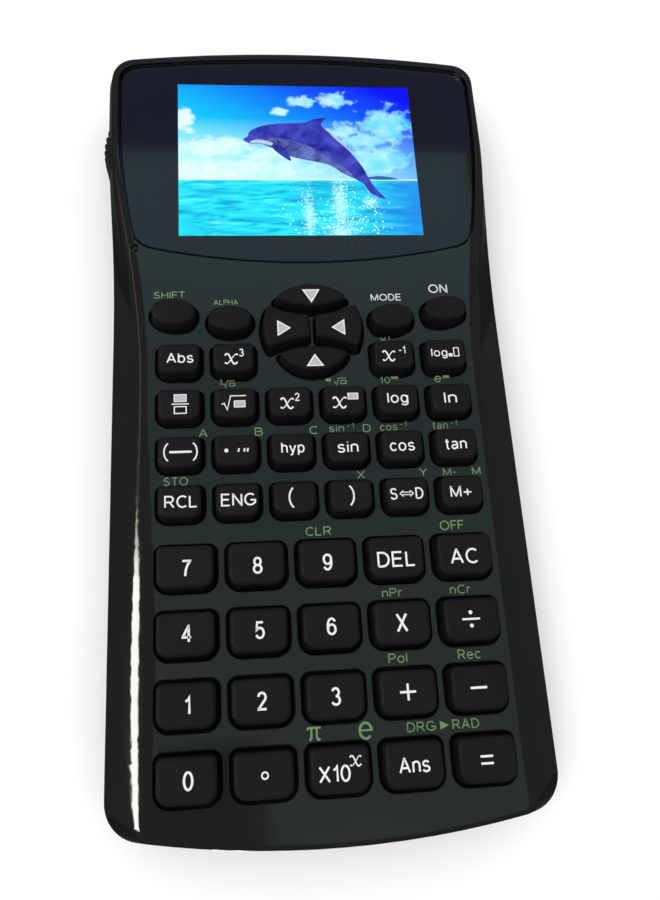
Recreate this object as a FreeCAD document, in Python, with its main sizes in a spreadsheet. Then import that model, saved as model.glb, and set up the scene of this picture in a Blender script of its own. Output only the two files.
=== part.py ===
import FreeCAD
import Part
import Sketcher
import math
import os

# Handheld calculator with a colour screen, millimetres.
# Origin: middle of the underside. +Y runs to the screen end, +Z out of the keys.

DIMS = {
    # heights of the stack
    "floor_z": 0.7, "floor_top": 2.7, "split_z": 9.0, "edge_z": 11.5, "face_z": 15.5,
    "ceiling_z": 13.3, "inner_edge_z": 10.2, "rear_turn_z": 2.4,
    # outer plan at the flat face
    "face_low": 32.0, "face_head": 38.6, "face_bottom": 78.7, "face_top": 79.2,
    "face_bottom_corner": 2.0, "face_top_corner": 4.6, "face_waist_start": 0.0, "face_waist_end": 56.0,
    # outer plan at the widest level
    "edge_low": 38.05, "edge_head": 39.9, "edge_bottom": 79.2, "edge_top": 79.7,
    "edge_bottom_corner": 6.5, "edge_top_corner": 5.3, "edge_waist_start": 13.0, "edge_waist_end": 68.0,
    "bottom_bow": 175.0, "top_bow": 290.0,
    "crease_foot": 0.8, "crease_low": 2.5, "crease_high": 3.4, "crease_head": 1.2,
    # offsets of the inner and lower plans
    "wall": 2.0, "head_wall": 2.5, "seam_step": 0.15, "rear_draft": 1.3, "rear_turn": 3.0,
    # lens
    "lens_half": 37.5, "lens_bottom": 27.0, "lens_top": 77.35, "lens_bow": 137.0, "lens_side_bow": 154.0,
    "lens_side_y": 64.0, "lens_corner": 5.6, "lens_top_corner": 4.2, "lens_seat_z": 14.3,
    "lens_gap": 0.3,
    # display
    "screen_x": -0.5, "screen_y": 53.5, "window_width": 52.0, "window_height": 39.4,
    "module_width": 60.0, "module_height": 41.4, "glass_z": 12.6,
    # keys
    "key_top_z": 18.5, "key_bottom_z": 12.3, "flange_z": 13.25, "key_gap": 0.3, "flange_lip": 0.3,
    "key_fillet": 0.75, "cap_draft_deg": 5.5, "cap_wall": 1.3, "hollow_top_z": 16.6, "plunger_radius": 1.5,
    "wide_pitch_x": 12.16, "wide_pitch_y": 11.33, "wide_width": 11.1, "wide_height": 8.72,
    "wide_top_y": -33.05, "wide_top_radius": 1.7, "wide_bottom_radius": 2.7,
    "small_pitch_x": 10.07, "small_pitch_y": 9.1, "small_width": 9.02, "small_height": 7.23,
    "small_top_y": 5.65, "small_top_radius": 1.4, "small_bottom_radius": 2.4,
    "oval_width": 9.6, "oval_height": 6.6, "oval_end_radius": 2.95, "outer_oval_x": 26.15, "outer_oval_y": 15.45,
    "inner_oval_x": 15.55, "inner_oval_y": 13.85, "outer_oval_tilt": 4.0, "inner_oval_tilt": 2.0,
    "pad_y": 12.05, "pad_radius": 10.15, "pad_arc": 16.0, "pad_arc_offset": 3.55, "pad_rib": 0.5,
    "pad_up_radius": 10.95, "pad_up_drop": 1.45, "pad_down_radius": 8.43, "pad_down_drop": 1.57,
    "pad_flange_lip": 0.35, "pad_corner": 0.9,
    # board, sheet, cell
    "board_half": 30.2, "board_bottom": 73.4, "board_top": 72.5, "board_z": 8.0, "board_thick": 1.6,
    "sheet_thick": 0.8, "sheet_half": 30.0, "sheet_bottom": 73.0, "sheet_top": 24.0,
    "dome_low_radius": 2.7, "dome_high_radius": 1.9, "dome_height": 0.8,
    "cell_width": 34.0, "cell_length": 52.0, "cell_thick": 3.9, "cell_y": -30.0,
    # screws and posts
    "boss_low_x": 33.2, "boss_low_y": -64.0, "boss_mid_x": 33.2, "boss_mid_y": 8.0,
    "boss_high_x": 34.4, "boss_high_y": 71.6, "boss_radius": 2.4, "screw_radius": 1.0,
    "screw_head_radius": 2.0, "screw_head_seat": 4.2, "screw_head_thick": 1.5, "screw_tip_z": 12.0,
    "post_radius": 0.7, "rear_post_radius": 2.0,
    # feet
    "foot_radius": 3.6, "foot_x": 24.5, "foot_low_y": -69.0, "foot_high_y": 69.0, "foot_sink": 0.6,
    # side lever
    "lever_x": -23.0, "lever_y": 57.0, "lever_radius": 17.9, "lever_inner": 14.9, "lever_z": 5.6,
    "lever_arm_top": 7.6, "lever_top": 10.4, "lever_half_angle": 33.0, "lever_pin_radius": 1.5,
    "lever_hub_radius": 3.2, "ridge_radius": 0.55,
    # small recess beside the lens
    "pip_x": -33.6, "pip_y": 30.6, "pip_radius": 0.85, "pip_depth": 0.6,
}

doc = FreeCAD.newDocument("calculator")
sheet = doc.addObject("Spreadsheet::Sheet", "dims")
for row, (alias, value) in enumerate(DIMS.items(), start=1):
    sheet.set("A%d" % row, alias)
    sheet.set("B%d" % row, str(value))
    sheet.setAlias("B%d" % row, alias)
doc.recompute()


class Q:
    """A number together with the sheet formula that gives it."""

    def __init__(self, value, text):
        self.value = value
        self.text = text

    def __add__(self, other):
        other = quantity(other)
        return Q(self.value + other.value, "(%s + %s)" % (self.text, other.text))

    def __sub__(self, other):
        other = quantity(other)
        return Q(self.value - other.value, "(%s - %s)" % (self.text, other.text))

    def __mul__(self, other):
        other = quantity(other)
        return Q(self.value * other.value, "(%s * %s)" % (self.text, other.text))

    def __truediv__(self, other):
        other = quantity(other)
        return Q(self.value / other.value, "(%s / %s)" % (self.text, other.text))

    def __neg__(self):
        return Q(-self.value, "(-1 * %s)" % self.text)


def quantity(value):
    if isinstance(value, Q):
        return value
    return Q(float(value), "(%.6f)" % float(value))


def dim(alias):
    return Q(DIMS[alias], "dims." + alias)


def bind(obj, prop, value):
    value = quantity(value)
    setattr(obj, prop, value.value)
    obj.setExpression(prop, value.text)


def place(obj, x=0, y=0, z=0, turn=0.0):
    x = quantity(x)
    y = quantity(y)
    z = quantity(z)
    turn = quantity(turn)
    rotation = FreeCAD.Rotation(FreeCAD.Vector(0, 0, 1), turn.value)
    obj.Placement = FreeCAD.Placement(FreeCAD.Vector(x.value, y.value, z.value), rotation)
    obj.setExpression("Placement.Base.x", x.text)
    obj.setExpression("Placement.Base.y", y.text)
    obj.setExpression("Placement.Base.z", z.text)
    return obj


# ---------------------------------------------------------------- solids
def cylinder(name, radius, x, y, z_low, z_high):
    obj = doc.addObject("Part::Cylinder", name)
    bind(obj, "Radius", radius)
    bind(obj, "Height", quantity(z_high) - z_low)
    return place(obj, x, y, z_low)


def cone(name, radius_low, radius_high, x, y, z_low, z_high):
    obj = doc.addObject("Part::Cone", name)
    bind(obj, "Radius1", radius_low)
    bind(obj, "Radius2", radius_high)
    bind(obj, "Height", quantity(z_high) - z_low)
    return place(obj, x, y, z_low)


def box(name, width, depth, x, y, z_low, z_high):
    """A box whose middle in plan is at x, y."""
    width = quantity(width)
    depth = quantity(depth)
    obj = doc.addObject("Part::Box", name)
    bind(obj, "Length", width)
    bind(obj, "Width", depth)
    bind(obj, "Height", quantity(z_high) - z_low)
    return place(obj, quantity(x) - width / 2, quantity(y) - depth / 2, z_low)


def fuse(name, parts):
    obj = doc.addObject("Part::MultiFuse", name)
    obj.Shapes = parts
    return obj


def common(name, parts):
    obj = doc.addObject("Part::MultiCommon", name)
    obj.Shapes = parts
    return obj


def cut(name, base, tool):
    obj = doc.addObject("Part::Cut", name)
    obj.Base = base
    obj.Tool = tool
    return obj


def label(obj, node):
    obj.Label = node
    return obj


def fillet_part(name, base, radius, wanted):
    """Part fillet on the edges that wanted(edge) picks."""
    doc.recompute()
    numbers = [i for i, edge in enumerate(base.Shape.Edges, start=1) if wanted(edge)]
    obj = doc.addObject("Part::Fillet", name)
    obj.Base = base
    obj.Edges = [(number, radius, radius) for number in numbers]
    return obj


def at_height(z):
    return lambda edge: all(abs(v.Z - z) < 1e-4 for v in edge.Vertexes) and \
        abs(edge.BoundBox.ZMax - z) < 1e-3 and abs(edge.BoundBox.ZMin - z) < 1e-3


def upright(edge):
    box_ = edge.BoundBox
    return box_.ZLength > 0.5 and box_.XLength < 0.9 and box_.YLength < 0.9 and len(edge.Vertexes) == 2


# ---------------------------------------------------------------- sketches
def plan_sketch(body, name, z):
    """A sketch in the body's own XY plane, lifted to z."""
    sketch = body.newObject("Sketcher::SketchObject", name)
    plane = [f for f in body.Origin.OriginFeatures if f.Role == "XY_Plane"][0]
    z = quantity(z)
    sketch.AttachmentSupport = [(plane, "")]
    sketch.MapMode = "FlatFace"
    sketch.AttachmentOffset = FreeCAD.Placement(FreeCAD.Vector(0, 0, z.value), FreeCAD.Rotation())
    sketch.setExpression("AttachmentOffset.Base.z", z.text)
    return sketch


def vec(x, y):
    return FreeCAD.Vector(x, y, 0)


class Chain:
    """A closed run of lines and arcs, each driven by constraints tied to the sheet."""

    def __init__(self, sketch, points, bends):
        # bends[i] joins point i to the next: None for a line, else a signed radius
        # (positive bends left, so it bulges outward on a counter-clockwise run).
        self.sketch = sketch
        self.first = sketch.GeometryCount
        self.count = len(points)
        for i, bend in enumerate(bends):
            start = vec(*points[i])
            end = vec(*points[(i + 1) % self.count])
            if bend is None:
                sketch.addGeometry(Part.LineSegment(start, end), False)
            else:
                sketch.addGeometry(Part.Arc(start, self.middle(start, end, bend), end), False)
        self.bends = bends
        self.ends = [self.end_codes(i, points) for i in range(self.count)]

    @staticmethod
    def middle(start, end, bend):
        half = (end - start) * 0.5
        left = FreeCAD.Vector(-half.y, half.x, 0).normalize()
        radius = abs(bend)
        reach = math.sqrt(max(radius ** 2 - half.Length ** 2, 0.0))
        side = 1.0 if bend > 0 else -1.0
        centre = start + half + left * (side * reach)
        return centre - left * (side * radius)

    def end_codes(self, i, points):
        """Which end of segment i is its start: 1 and 2 are the sketch's own codes."""
        begin = self.sketch.getPoint(self.first + i, 1)
        start = vec(*points[i])
        return (1, 2) if (begin - start).Length < 1e-3 else (2, 1)

    def join(self, smooth):
        """Close the run; the joints listed in smooth are tangent."""
        for i in range(self.count):
            j = (i + 1) % self.count
            kind = "Tangent" if j in smooth else "Coincident"
            self.sketch.addConstraint(Sketcher.Constraint(
                kind, self.first + i, self.ends[i][1], self.first + j, self.ends[j][0]))

    def drive(self, constraint, value):
        number = self.sketch.addConstraint(constraint)
        self.sketch.setExpression("Constraints[%d]" % number, value.text)

    def radius(self, i, value):
        value = quantity(value)
        self.drive(Sketcher.Constraint("Radius", self.first + i, value.value), value)

    def spot(self, geometry, code, x=None, y=None):
        """Fix the x and/or y of one point of one segment from the origin."""
        for kind, value in (("DistanceX", x), ("DistanceY", y)):
            if value is None:
                continue
            value = quantity(value)
            if value.value >= 0:
                self.drive(Sketcher.Constraint(
                    kind, -1, 1, self.first + geometry, code, value.value), value)
            else:
                back = -value
                self.drive(Sketcher.Constraint(
                    kind, self.first + geometry, code, -1, 1, back.value), back)

    def start_spot(self, i, x=None, y=None):
        self.spot(i, self.ends[i][0], x, y)

    def centre_spot(self, i, x=None, y=None):
        self.spot(i, 3, x, y)


def corner(centre_a, reach_a, wall_x, radius, sign):
    """Centre of a corner arc inside a big end arc and a straight side wall."""
    x = wall_x - radius
    y = centre_a + sign * math.sqrt((reach_a - radius) ** 2 - x ** 2)
    return x, y


def case_plan(body, name, z, plan):
    """Outline of the case at one level; plan holds its sheet-driven sizes."""
    low, head = plan["low"], plan["head"]
    bottom, top = plan["bottom"], plan["top"]
    corner_low, corner_high = plan["corner_low"], plan["corner_high"]
    start, end = plan["start"], plan["end"]
    bow_low, bow_high = dim("bottom_bow"), dim("top_bow")
    bend = ((end - start) * (end - start) + (head - low) * (head - low)) / ((head - low) * 4)
    low_y = -bottom + bow_low
    high_y = top - bow_high
    cx, cy = corner(low_y.value, bow_low.value, low.value, corner_low.value, -1)
    away = math.hypot(cx, cy - low_y.value)
    p1 = (cx * bow_low.value / away, low_y.value + (cy - low_y.value) * bow_low.value / away)
    p2 = (low.value, cy)
    dx, dy = corner(high_y.value, bow_high.value, head.value, corner_high.value, 1)
    away = math.hypot(dx, dy - high_y.value)
    p7 = (dx * bow_high.value / away, high_y.value + (dy - high_y.value) * bow_high.value / away)
    p6 = (head.value, dy)
    p3 = (low.value, start.value)
    p4 = ((low.value + head.value) / 2, (start.value + end.value) / 2)
    p5 = (head.value, end.value)
    right = [p1, p2, p3, p4, p5, p6, p7]
    points = right + [(-x, y) for x, y in reversed(right)]
    half = [corner_low.value, None, -bend.value, bend.value, None, corner_high.value]
    bends = half + [bow_high.value] + [b for b in reversed(half)] + [bow_low.value]
    sketch = plan_sketch(body, name, z)
    chain = Chain(sketch, points, bends)
    chain.join(smooth={0, 1, 5, 6, 7, 8, 12, 13})
    for i in (0, 12):
        chain.radius(i, corner_low)
    for i in (5, 7):
        chain.radius(i, corner_high)
    for i in (2, 3, 9, 10):
        chain.radius(i, bend)
    chain.radius(6, bow_high)
    chain.radius(13, bow_low)
    chain.centre_spot(6, 0, high_y)
    chain.centre_spot(13, 0, low_y)
    for sign, spots in ((1, (1, 2, 3, 4, 5)), (-1, (12, 11, 10, 9, 8))):
        level = (None, start, (start + end) / 2, end, None)
        width = (low, low, (low + head) / 2, head, head)
        for i, x, y in zip(spots, width, level):
            chain.start_spot(i, x if sign > 0 else -x, y)
    return sketch


def case_sizes(prefix, shrink=0.0, head_shrink=None):
    """Sheet-driven sizes of one outline, drawn in by shrink."""
    if head_shrink is None:
        head_shrink = shrink
    grow = quantity(shrink) * 0.6
    radius_low = dim(prefix + "_bottom_corner")
    radius_high = dim(prefix + "_top_corner")
    return {
        "low": dim(prefix + "_low") - shrink,
        "head": dim(prefix + "_head") - head_shrink,
        "bottom": dim(prefix + "_bottom") - shrink,
        "top": dim(prefix + "_top") - head_shrink,
        "corner_low": radius_low - grow if radius_low.value > 3 else radius_low,
        "corner_high": radius_high - grow,
        "start": dim(prefix + "_waist_start"),
        "end": dim(prefix + "_waist_end"),
    }


def loft(body, name, sketches):
    obj = body.newObject("PartDesign::AdditiveLoft", name)
    obj.Profile = sketches[0]
    obj.Sections = sketches[1:]
    obj.Ruled = True
    return obj


def pad(body, name, sketch, length, taper=None, reverse=False):
    obj = body.newObject("PartDesign::Pad", name)
    obj.Profile = sketch
    bind(obj, "Length", length)
    obj.Reversed = reverse
    if taper is not None:
        bind(obj, "TaperAngle", taper)
    return obj


def new_body(name):
    return doc.addObject("PartDesign::Body", name)


def case_body(name, z_face, z_edge, z_end, face, edge):
    """Sloping shoulder between two outlines, then a straight skirt to z_end."""
    body = new_body(name)
    upper = case_plan(body, name + "_face_plan", z_face, face)
    lower = case_plan(body, name + "_edge_plan", z_edge, edge)
    loft(body, name + "_shoulder", [upper, lower])
    skirt = case_plan(body, name + "_skirt_plan", z_edge, edge)
    pad(body, name + "_skirt", skirt, quantity(z_edge) - z_end, reverse=True)
    return body


def soft_crease(name, body):
    """Rounds the edge of the flat face: wide along the flanks, tight round the head and foot."""
    doc.recompute()
    tight_foot, tight_head = DIMS["crease_foot"], DIMS["crease_head"]
    wide_low, wide_high = DIMS["crease_low"], DIMS["crease_high"]
    start, end = DIMS["face_waist_start"], DIMS["face_waist_end"]
    face_level = at_height(DIMS["face_z"])
    edges = []
    for number, edge in enumerate(body.Shape.Edges, start=1):
        if not face_level(edge):
            continue
        centre = edge.valueAt((edge.FirstParameter + edge.LastParameter) / 2)
        along = edge.BoundBox.YLength
        if centre.y < -70 and edge.BoundBox.XLength > 20:
            radii = (tight_foot, tight_foot)
        elif centre.y < -70:
            radii = (tight_foot, wide_low)
        elif centre.y < start and along > 20:
            radii = (wide_low, wide_high)
        elif centre.y < (start + end) / 2:
            radii = (wide_high, wide_high)
        elif centre.y < end:
            radii = (wide_high, tight_head)
        else:
            radii = (tight_head, tight_head)
        rising = edge.Vertexes[0].Y < edge.Vertexes[-1].Y
        first, last = radii if rising else reversed(radii)
        edges.append((number, first, last))
    obj = doc.addObject("Part::Fillet", name)
    obj.Base = body
    obj.Edges = edges
    return obj


def lens_plan(body, name, z, shrink):
    """Lens outline: bowed ends, sides that fall inward below the screen."""
    half = dim("lens_half") - shrink
    side_bow = dim("lens_side_bow")
    bow = dim("lens_bow") - shrink
    low_y = dim("lens_bottom") + dim("lens_bow")
    bow_high = dim("top_bow")
    high_y = dim("lens_top") - shrink - bow_high
    low_corner = dim("lens_corner")
    high_corner = dim("lens_top_corner")
    side_x = half - side_bow
    side_y = dim("lens_side_y")
    # centre of the low corner: inside both the low bow and the side bow
    reach_a = bow.value - low_corner.value
    reach_b = side_bow.value - low_corner.value
    ax, ay = 0.0, low_y.value
    bx, by = side_x.value, side_y.value
    gap = math.hypot(bx - ax, by - ay)
    along = (reach_a ** 2 - reach_b ** 2 + gap ** 2) / (2 * gap)
    off = math.sqrt(reach_a ** 2 - along ** 2)
    ux, uy = (bx - ax) / gap, (by - ay) / gap
    cx, cy = ax + ux * along - uy * off, ay + uy * along + ux * off
    if cy > ay or cx < 0:
        cx, cy = ax + ux * along + uy * off, ay + uy * along - ux * off
    away = math.hypot(cx - ax, cy - ay)
    p1 = (ax + (cx - ax) * bow.value / away, ay + (cy - ay) * bow.value / away)
    away = math.hypot(cx - bx, cy - by)
    p2 = (bx + (cx - bx) * side_bow.value / away, by + (cy - by) * side_bow.value / away)
    p3 = (half.value, side_y.value)
    dx, dy = corner(high_y.value, bow_high.value, half.value, high_corner.value, 1)
    away = math.hypot(dx, dy - high_y.value)
    p5 = (dx * bow_high.value / away, high_y.value + (dy - high_y.value) * bow_high.value / away)
    p4 = (half.value, dy)
    right = [p1, p2, p3, p4, p5]
    points = right + [(-x, y) for x, y in reversed(right)]
    run = [low_corner.value, side_bow.value, None, high_corner.value]
    bends = run + [bow_high.value] + list(reversed(run)) + [bow.value]
    sketch = plan_sketch(body, name, z)
    chain = Chain(sketch, points, bends)
    chain.join(smooth={0, 1, 3, 4, 5, 6, 8, 9})
    for i in (0, 8):
        chain.radius(i, low_corner)
    for i in (3, 5):
        chain.radius(i, high_corner)
    for i in (1, 7):
        chain.radius(i, side_bow)
    chain.radius(4, bow_high)
    chain.radius(9, bow)
    chain.centre_spot(4, 0, high_y)
    chain.centre_spot(9, 0, low_y)
    chain.centre_spot(1, side_x, side_y)
    chain.centre_spot(7, -side_x, side_y)
    chain.start_spot(3, half)
    chain.start_spot(6, -half)
    chain.start_spot(2, None, side_y)
    chain.start_spot(7, None, side_y)
    return sketch


def rounded_plan(body, name, z, width, height, radius_high, radius_low):
    """Rounded rectangle about the origin; far and near corners differ."""
    w = width / 2
    h = height / 2
    ra, rb = radius_high.value, radius_low.value
    x, y = w.value, h.value
    points = [(-x + rb, -y), (x - rb, -y), (x, -y + rb), (x, y - ra),
              (x - ra, y), (-x + ra, y), (-x, y - ra), (-x, -y + rb)]
    bends = [None, rb, None, ra, None, ra, None, rb]
    sketch = plan_sketch(body, name, z)
    chain = Chain(sketch, points, bends)
    chain.join(smooth=set(range(8)))
    for i, radius in ((1, radius_low), (3, radius_high), (5, radius_high), (7, radius_low)):
        chain.radius(i, radius)
    for i, kind in ((0, "Horizontal"), (2, "Vertical"), (4, "Horizontal"), (6, "Vertical")):
        sketch.addConstraint(Sketcher.Constraint(kind, chain.first + i))
    chain.start_spot(0, None, -h)
    chain.start_spot(2, w)
    chain.start_spot(4, None, h)
    chain.start_spot(6, -w)
    return sketch


def oval_plan(body, name, z, width, height, end_radius):
    """Oval about the origin: two end arcs and two flatter arcs, all tangent."""
    a = width / 2
    b = height / 2
    end_x = a - end_radius
    flat_radius = (end_x * end_x + b * b - end_radius * end_radius) / ((b - end_radius) * 2)
    drop = flat_radius.value - b.value
    away = math.hypot(end_x.value, drop)
    x = end_x.value * flat_radius.value / away
    y = drop * flat_radius.value / away - drop
    points = [(x, -y), (x, y), (-x, y), (-x, -y)]
    bends = [end_radius.value, flat_radius.value, end_radius.value, flat_radius.value]
    sketch = plan_sketch(body, name, z)
    chain = Chain(sketch, points, bends)
    chain.join(smooth={0, 1, 2, 3})
    for i, radius in ((0, end_radius), (1, flat_radius), (2, end_radius), (3, flat_radius)):
        chain.radius(i, radius)
    chain.centre_spot(0, end_x, 0)
    chain.centre_spot(2, -end_x, 0)
    return sketch


# ---------------------------------------------------------------- keys
def edge_names(shape, wanted):
    return ["Edge%d" % i for i, edge in enumerate(shape.Edges, start=1) if wanted(edge)]


def key_body(node, draw, x, y, turn=0.0):
    """One cap: lip below the shell, drafted cap above, soft top, hollow with a plunger."""
    body = new_body(node + "_body")
    gap = dim("key_gap")
    lip = dim("flange_lip")
    low, flange, high = dim("key_bottom_z"), dim("flange_z"), dim("key_top_z")
    lip_sketch = draw(body, node + "_lip_plan", low, -lip)
    pad(body, node + "_lip", lip_sketch, flange - low)
    cap_sketch = draw(body, node + "_cap_plan", flange, gap)
    cap = pad(body, node + "_cap", cap_sketch, high - flange, -dim("cap_draft_deg"))
    doc.recompute()
    soft = body.newObject("PartDesign::Fillet", node + "_soft")
    soft.Base = (cap, edge_names(cap.Shape, at_height(high.value)))
    bind(soft, "Radius", dim("key_fillet"))
    doc.recompute()
    hollow_sketch = draw(body, node + "_hollow_plan", low, gap + dim("cap_wall"))
    ring = hollow_sketch.addGeometry(Part.Circle(vec(0, 0), FreeCAD.Vector(0, 0, 1),
                                                 DIMS["plunger_radius"]), False)
    hollow_sketch.addConstraint(Sketcher.Constraint("Coincident", ring, 3, -1, 1))
    number = hollow_sketch.addConstraint(Sketcher.Constraint("Radius", ring, DIMS["plunger_radius"]))
    hollow_sketch.setExpression("Constraints[%d]" % number, "dims.plunger_radius")
    before = soft.Shape.Volume
    hollow = body.newObject("PartDesign::Pocket", node + "_hollow")
    hollow.Profile = hollow_sketch
    bind(hollow, "Length", dim("hollow_top_z") - low)
    hollow.Reversed = True
    doc.recompute()
    assert hollow.Shape.Volume < before - 5.0, node + ": the hollow went the wrong way"
    place(body, x, y, 0, turn)
    return label(body, node)


def opening_body(name, draw, x, y, turn=0.0):
    """The hole in the shell that a key comes through."""
    body = new_body(name)
    sketch = draw(body, name + "_plan", dim("ceiling_z") - 1, quantity(0))
    pad(body, name + "_tool", sketch, dim("face_z") - dim("ceiling_z") + 2)
    return place(body, x, y, 0, turn)


def draw_rounded(kind):
    def draw(body, name, z, inset):
        inset = quantity(inset)
        trim = inset if inset.value > 0 else quantity(0)
        radius_high = dim(kind + "_top_radius") - trim * 0.6
        radius_low = dim(kind + "_bottom_radius") - trim * 0.6
        return rounded_plan(body, name, z, dim(kind + "_width") - inset * 2,
                            dim(kind + "_height") - inset * 2, radius_high, radius_low)
    return draw


def draw_oval(body, name, z, inset):
    inset = quantity(inset)
    return oval_plan(body, name, z, dim("oval_width") - inset * 2,
                     dim("oval_height") - inset * 2, dim("oval_end_radius") - inset)


def pad_piece(name, kind, inset, rim_inset, z_low, z_high, draft=0.0):
    """One of the four cursor shapes, drawn in by inset and by rim_inset on its outer rim."""
    inset = quantity(inset)
    draft = quantity(draft)
    centre = dim("pad_y")
    reach = dim("pad_arc") + dim("pad_arc_offset")
    rim, rim_y = dim("pad_radius") - rim_inset, centre
    if kind in ("key_up", "key_down"):
        rim = dim("pad_" + kind[4:] + "_radius") - rim_inset
        rim_y = centre - dim("pad_" + kind[4:] + "_drop")
    disc = cone(name + "_disc", rim, rim - draft, 0, rim_y, z_low, z_high)
    if kind in ("key_up", "key_down"):
        side = 1 if kind == "key_up" else -1
        bow = dim("pad_arc") - inset
        other = cone(name + "_bow", bow, bow - draft, 0, centre + reach * side, z_low, z_high)
        return common(name + "_raw", [disc, other])
    bow = dim("pad_arc") + dim("pad_rib") + inset
    upper = cone(name + "_upper", bow, bow + draft, 0, centre + reach, z_low, z_high)
    lower = cone(name + "_lower", bow, bow + draft, 0, centre - reach, z_low, z_high)
    side = 1 if kind == "key_left" else -1
    width = dim("pad_radius") * 3
    shift = (width / 2 - dim("pad_rib") / 2 - inset) * side
    wall = box(name + "_wall", width, width, shift, centre, z_low, z_high)
    return cut(name + "_raw", disc, fuse(name + "_trim", [upper, lower, wall]))


def pad_key(node):
    """A cursor key: lip on the outer rim only, cap, soft top, hollow with a plunger."""
    gap = dim("key_gap")
    low, flange, high = dim("key_bottom_z"), dim("flange_z"), dim("key_top_z")
    cap = pad_piece(node + "_cap", node, gap, gap, flange, high, 0.45)
    round_cap = fillet_part(node + "_corners", cap, DIMS["pad_corner"] - 0.25, upright)
    soft = fillet_part(node + "_soft", round_cap, DIMS["key_fillet"], at_height(DIMS["key_top_z"]))
    lip = pad_piece(node + "_lip", node, gap, -dim("pad_flange_lip"), low, flange)
    whole = fuse(node + "_whole", [soft, lip])
    inner = gap + dim("cap_wall")
    room = pad_piece(node + "_room", node, inner, inner, low, dim("hollow_top_z"))
    x, y = PLUNGER[node]
    plunger = cylinder(node + "_plunger", dim("plunger_radius"), x, y, low, dim("hollow_top_z"))
    hollow = cut(node + "_hollow", room, plunger)
    return label(cut(node + "_solid", whole, hollow), node)


def pad_opening(kind):
    z_low = dim("ceiling_z") - 1
    z_high = dim("face_z") + 1
    raw = pad_piece(kind + "_hole", kind, 0, 0, z_low, z_high)
    return fillet_part(kind + "_hole_corners", raw, DIMS["pad_corner"], upright)


PLUNGER = {
    "key_up": (quantity(0), dim("pad_y") + 6.6),
    "key_down": (quantity(0), dim("pad_y") - 6.8),
    "key_left": (quantity(-5.2), dim("pad_y")),
    "key_right": (quantity(5.2), dim("pad_y")),
}

WIDE_ROWS = (
    ("key_7", "key_8", "key_9", "key_delete", "key_clear"),
    ("key_4", "key_5", "key_6", "key_multiply", "key_divide"),
    ("key_1", "key_2", "key_3", "key_plus", "key_minus"),
    ("key_0", "key_point", "key_exponent", "key_answer", "key_equals"),
)
SMALL_ROWS = (
    ("key_abs", "key_cube", None, None, "key_reciprocal", "key_log_base"),
    ("key_fraction", "key_root", "key_square", "key_power", "key_log", "key_ln"),
    ("key_negate", "key_degrees", "key_hyp", "key_sin", "key_cos", "key_tan"),
    ("key_recall", "key_eng", "key_paren_open", "key_paren_close", "key_exchange", "key_memory"),
)
OVALS = (
    ("key_shift", "outer", -1), ("key_alpha", "inner", -1),
    ("key_mode", "inner", 1), ("key_on", "outer", 1),
)

nodes = {}
openings = []
centres = []
for kind, rows in (("wide", WIDE_ROWS), ("small", SMALL_ROWS)):
    for r, names in enumerate(rows):
        for c, node in enumerate(names):
            if node is None:
                continue
            x = dim(kind + "_pitch_x") * (c - (len(names) - 1) / 2)
            y = dim(kind + "_top_y") - dim(kind + "_pitch_y") * r
            nodes[node] = key_body(node, draw_rounded(kind), x, y)
            openings.append(opening_body(node + "_hole", draw_rounded(kind), x, y))
            centres.append((node, x, y))
for node, group, side in OVALS:
    x = dim(group + "_oval_x") * side
    y = dim(group + "_oval_y")
    turn = DIMS[group + "_oval_tilt"] * side
    nodes[node] = key_body(node, draw_oval, x, y, turn)
    openings.append(opening_body(node + "_hole", draw_oval, x, y, turn))
    centres.append((node, x, y))
for node, (x, y) in PLUNGER.items():
    nodes[node] = pad_key(node)
    openings.append(pad_opening(node))
    centres.append((node, x, y))

# ---------------------------------------------------------------- front shell
BOSSES = [(name, dim("boss_%s_x" % spot) * side, dim("boss_%s_y" % spot))
          for spot in ("low", "mid", "high")
          for name, side in (("left_" + spot, -1), ("right_" + spot, 1))]

front_outer = case_body("front_outer", dim("face_z"), dim("edge_z"), dim("split_z"),
                        case_sizes("face"), case_sizes("edge"))
front_inner = case_body("front_inner", dim("ceiling_z"), dim("inner_edge_z"), dim("split_z") - 1,
                        case_sizes("face", 0.6, dim("head_wall")), case_sizes("edge", dim("wall")))
front_soft = soft_crease("front_soft", front_outer)
front_shell = cut("front_shell", front_soft, front_inner)
front_bosses = [cylinder("front_boss_" + name, dim("boss_radius"), x, y, dim("split_z"), 12.3)
                for name, x, y in BOSSES]
front_posts = []
for r in range(2):
    for side in (-1.5, 1.5):
        front_posts.append(cylinder(
            "front_post_%d" % len(front_posts), dim("post_radius"), dim("wide_pitch_x") * side,
            dim("wide_top_y") - dim("wide_pitch_y") * (r * 2 + 0.5),
            dim("board_z") + dim("board_thick") + dim("sheet_thick"), dim("ceiling_z") + 0.2))
for r in range(2):
    for side in (-2, 2):
        front_posts.append(cylinder(
            "front_post_%d" % len(front_posts), dim("post_radius"), dim("small_pitch_x") * side,
            dim("small_top_y") - dim("small_pitch_y") * (r * 2 + 0.5),
            dim("board_z") + dim("board_thick") + dim("sheet_thick"), dim("ceiling_z") + 0.2))
front_solid = fuse("front_solid", [front_shell] + front_bosses + front_posts)

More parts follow.
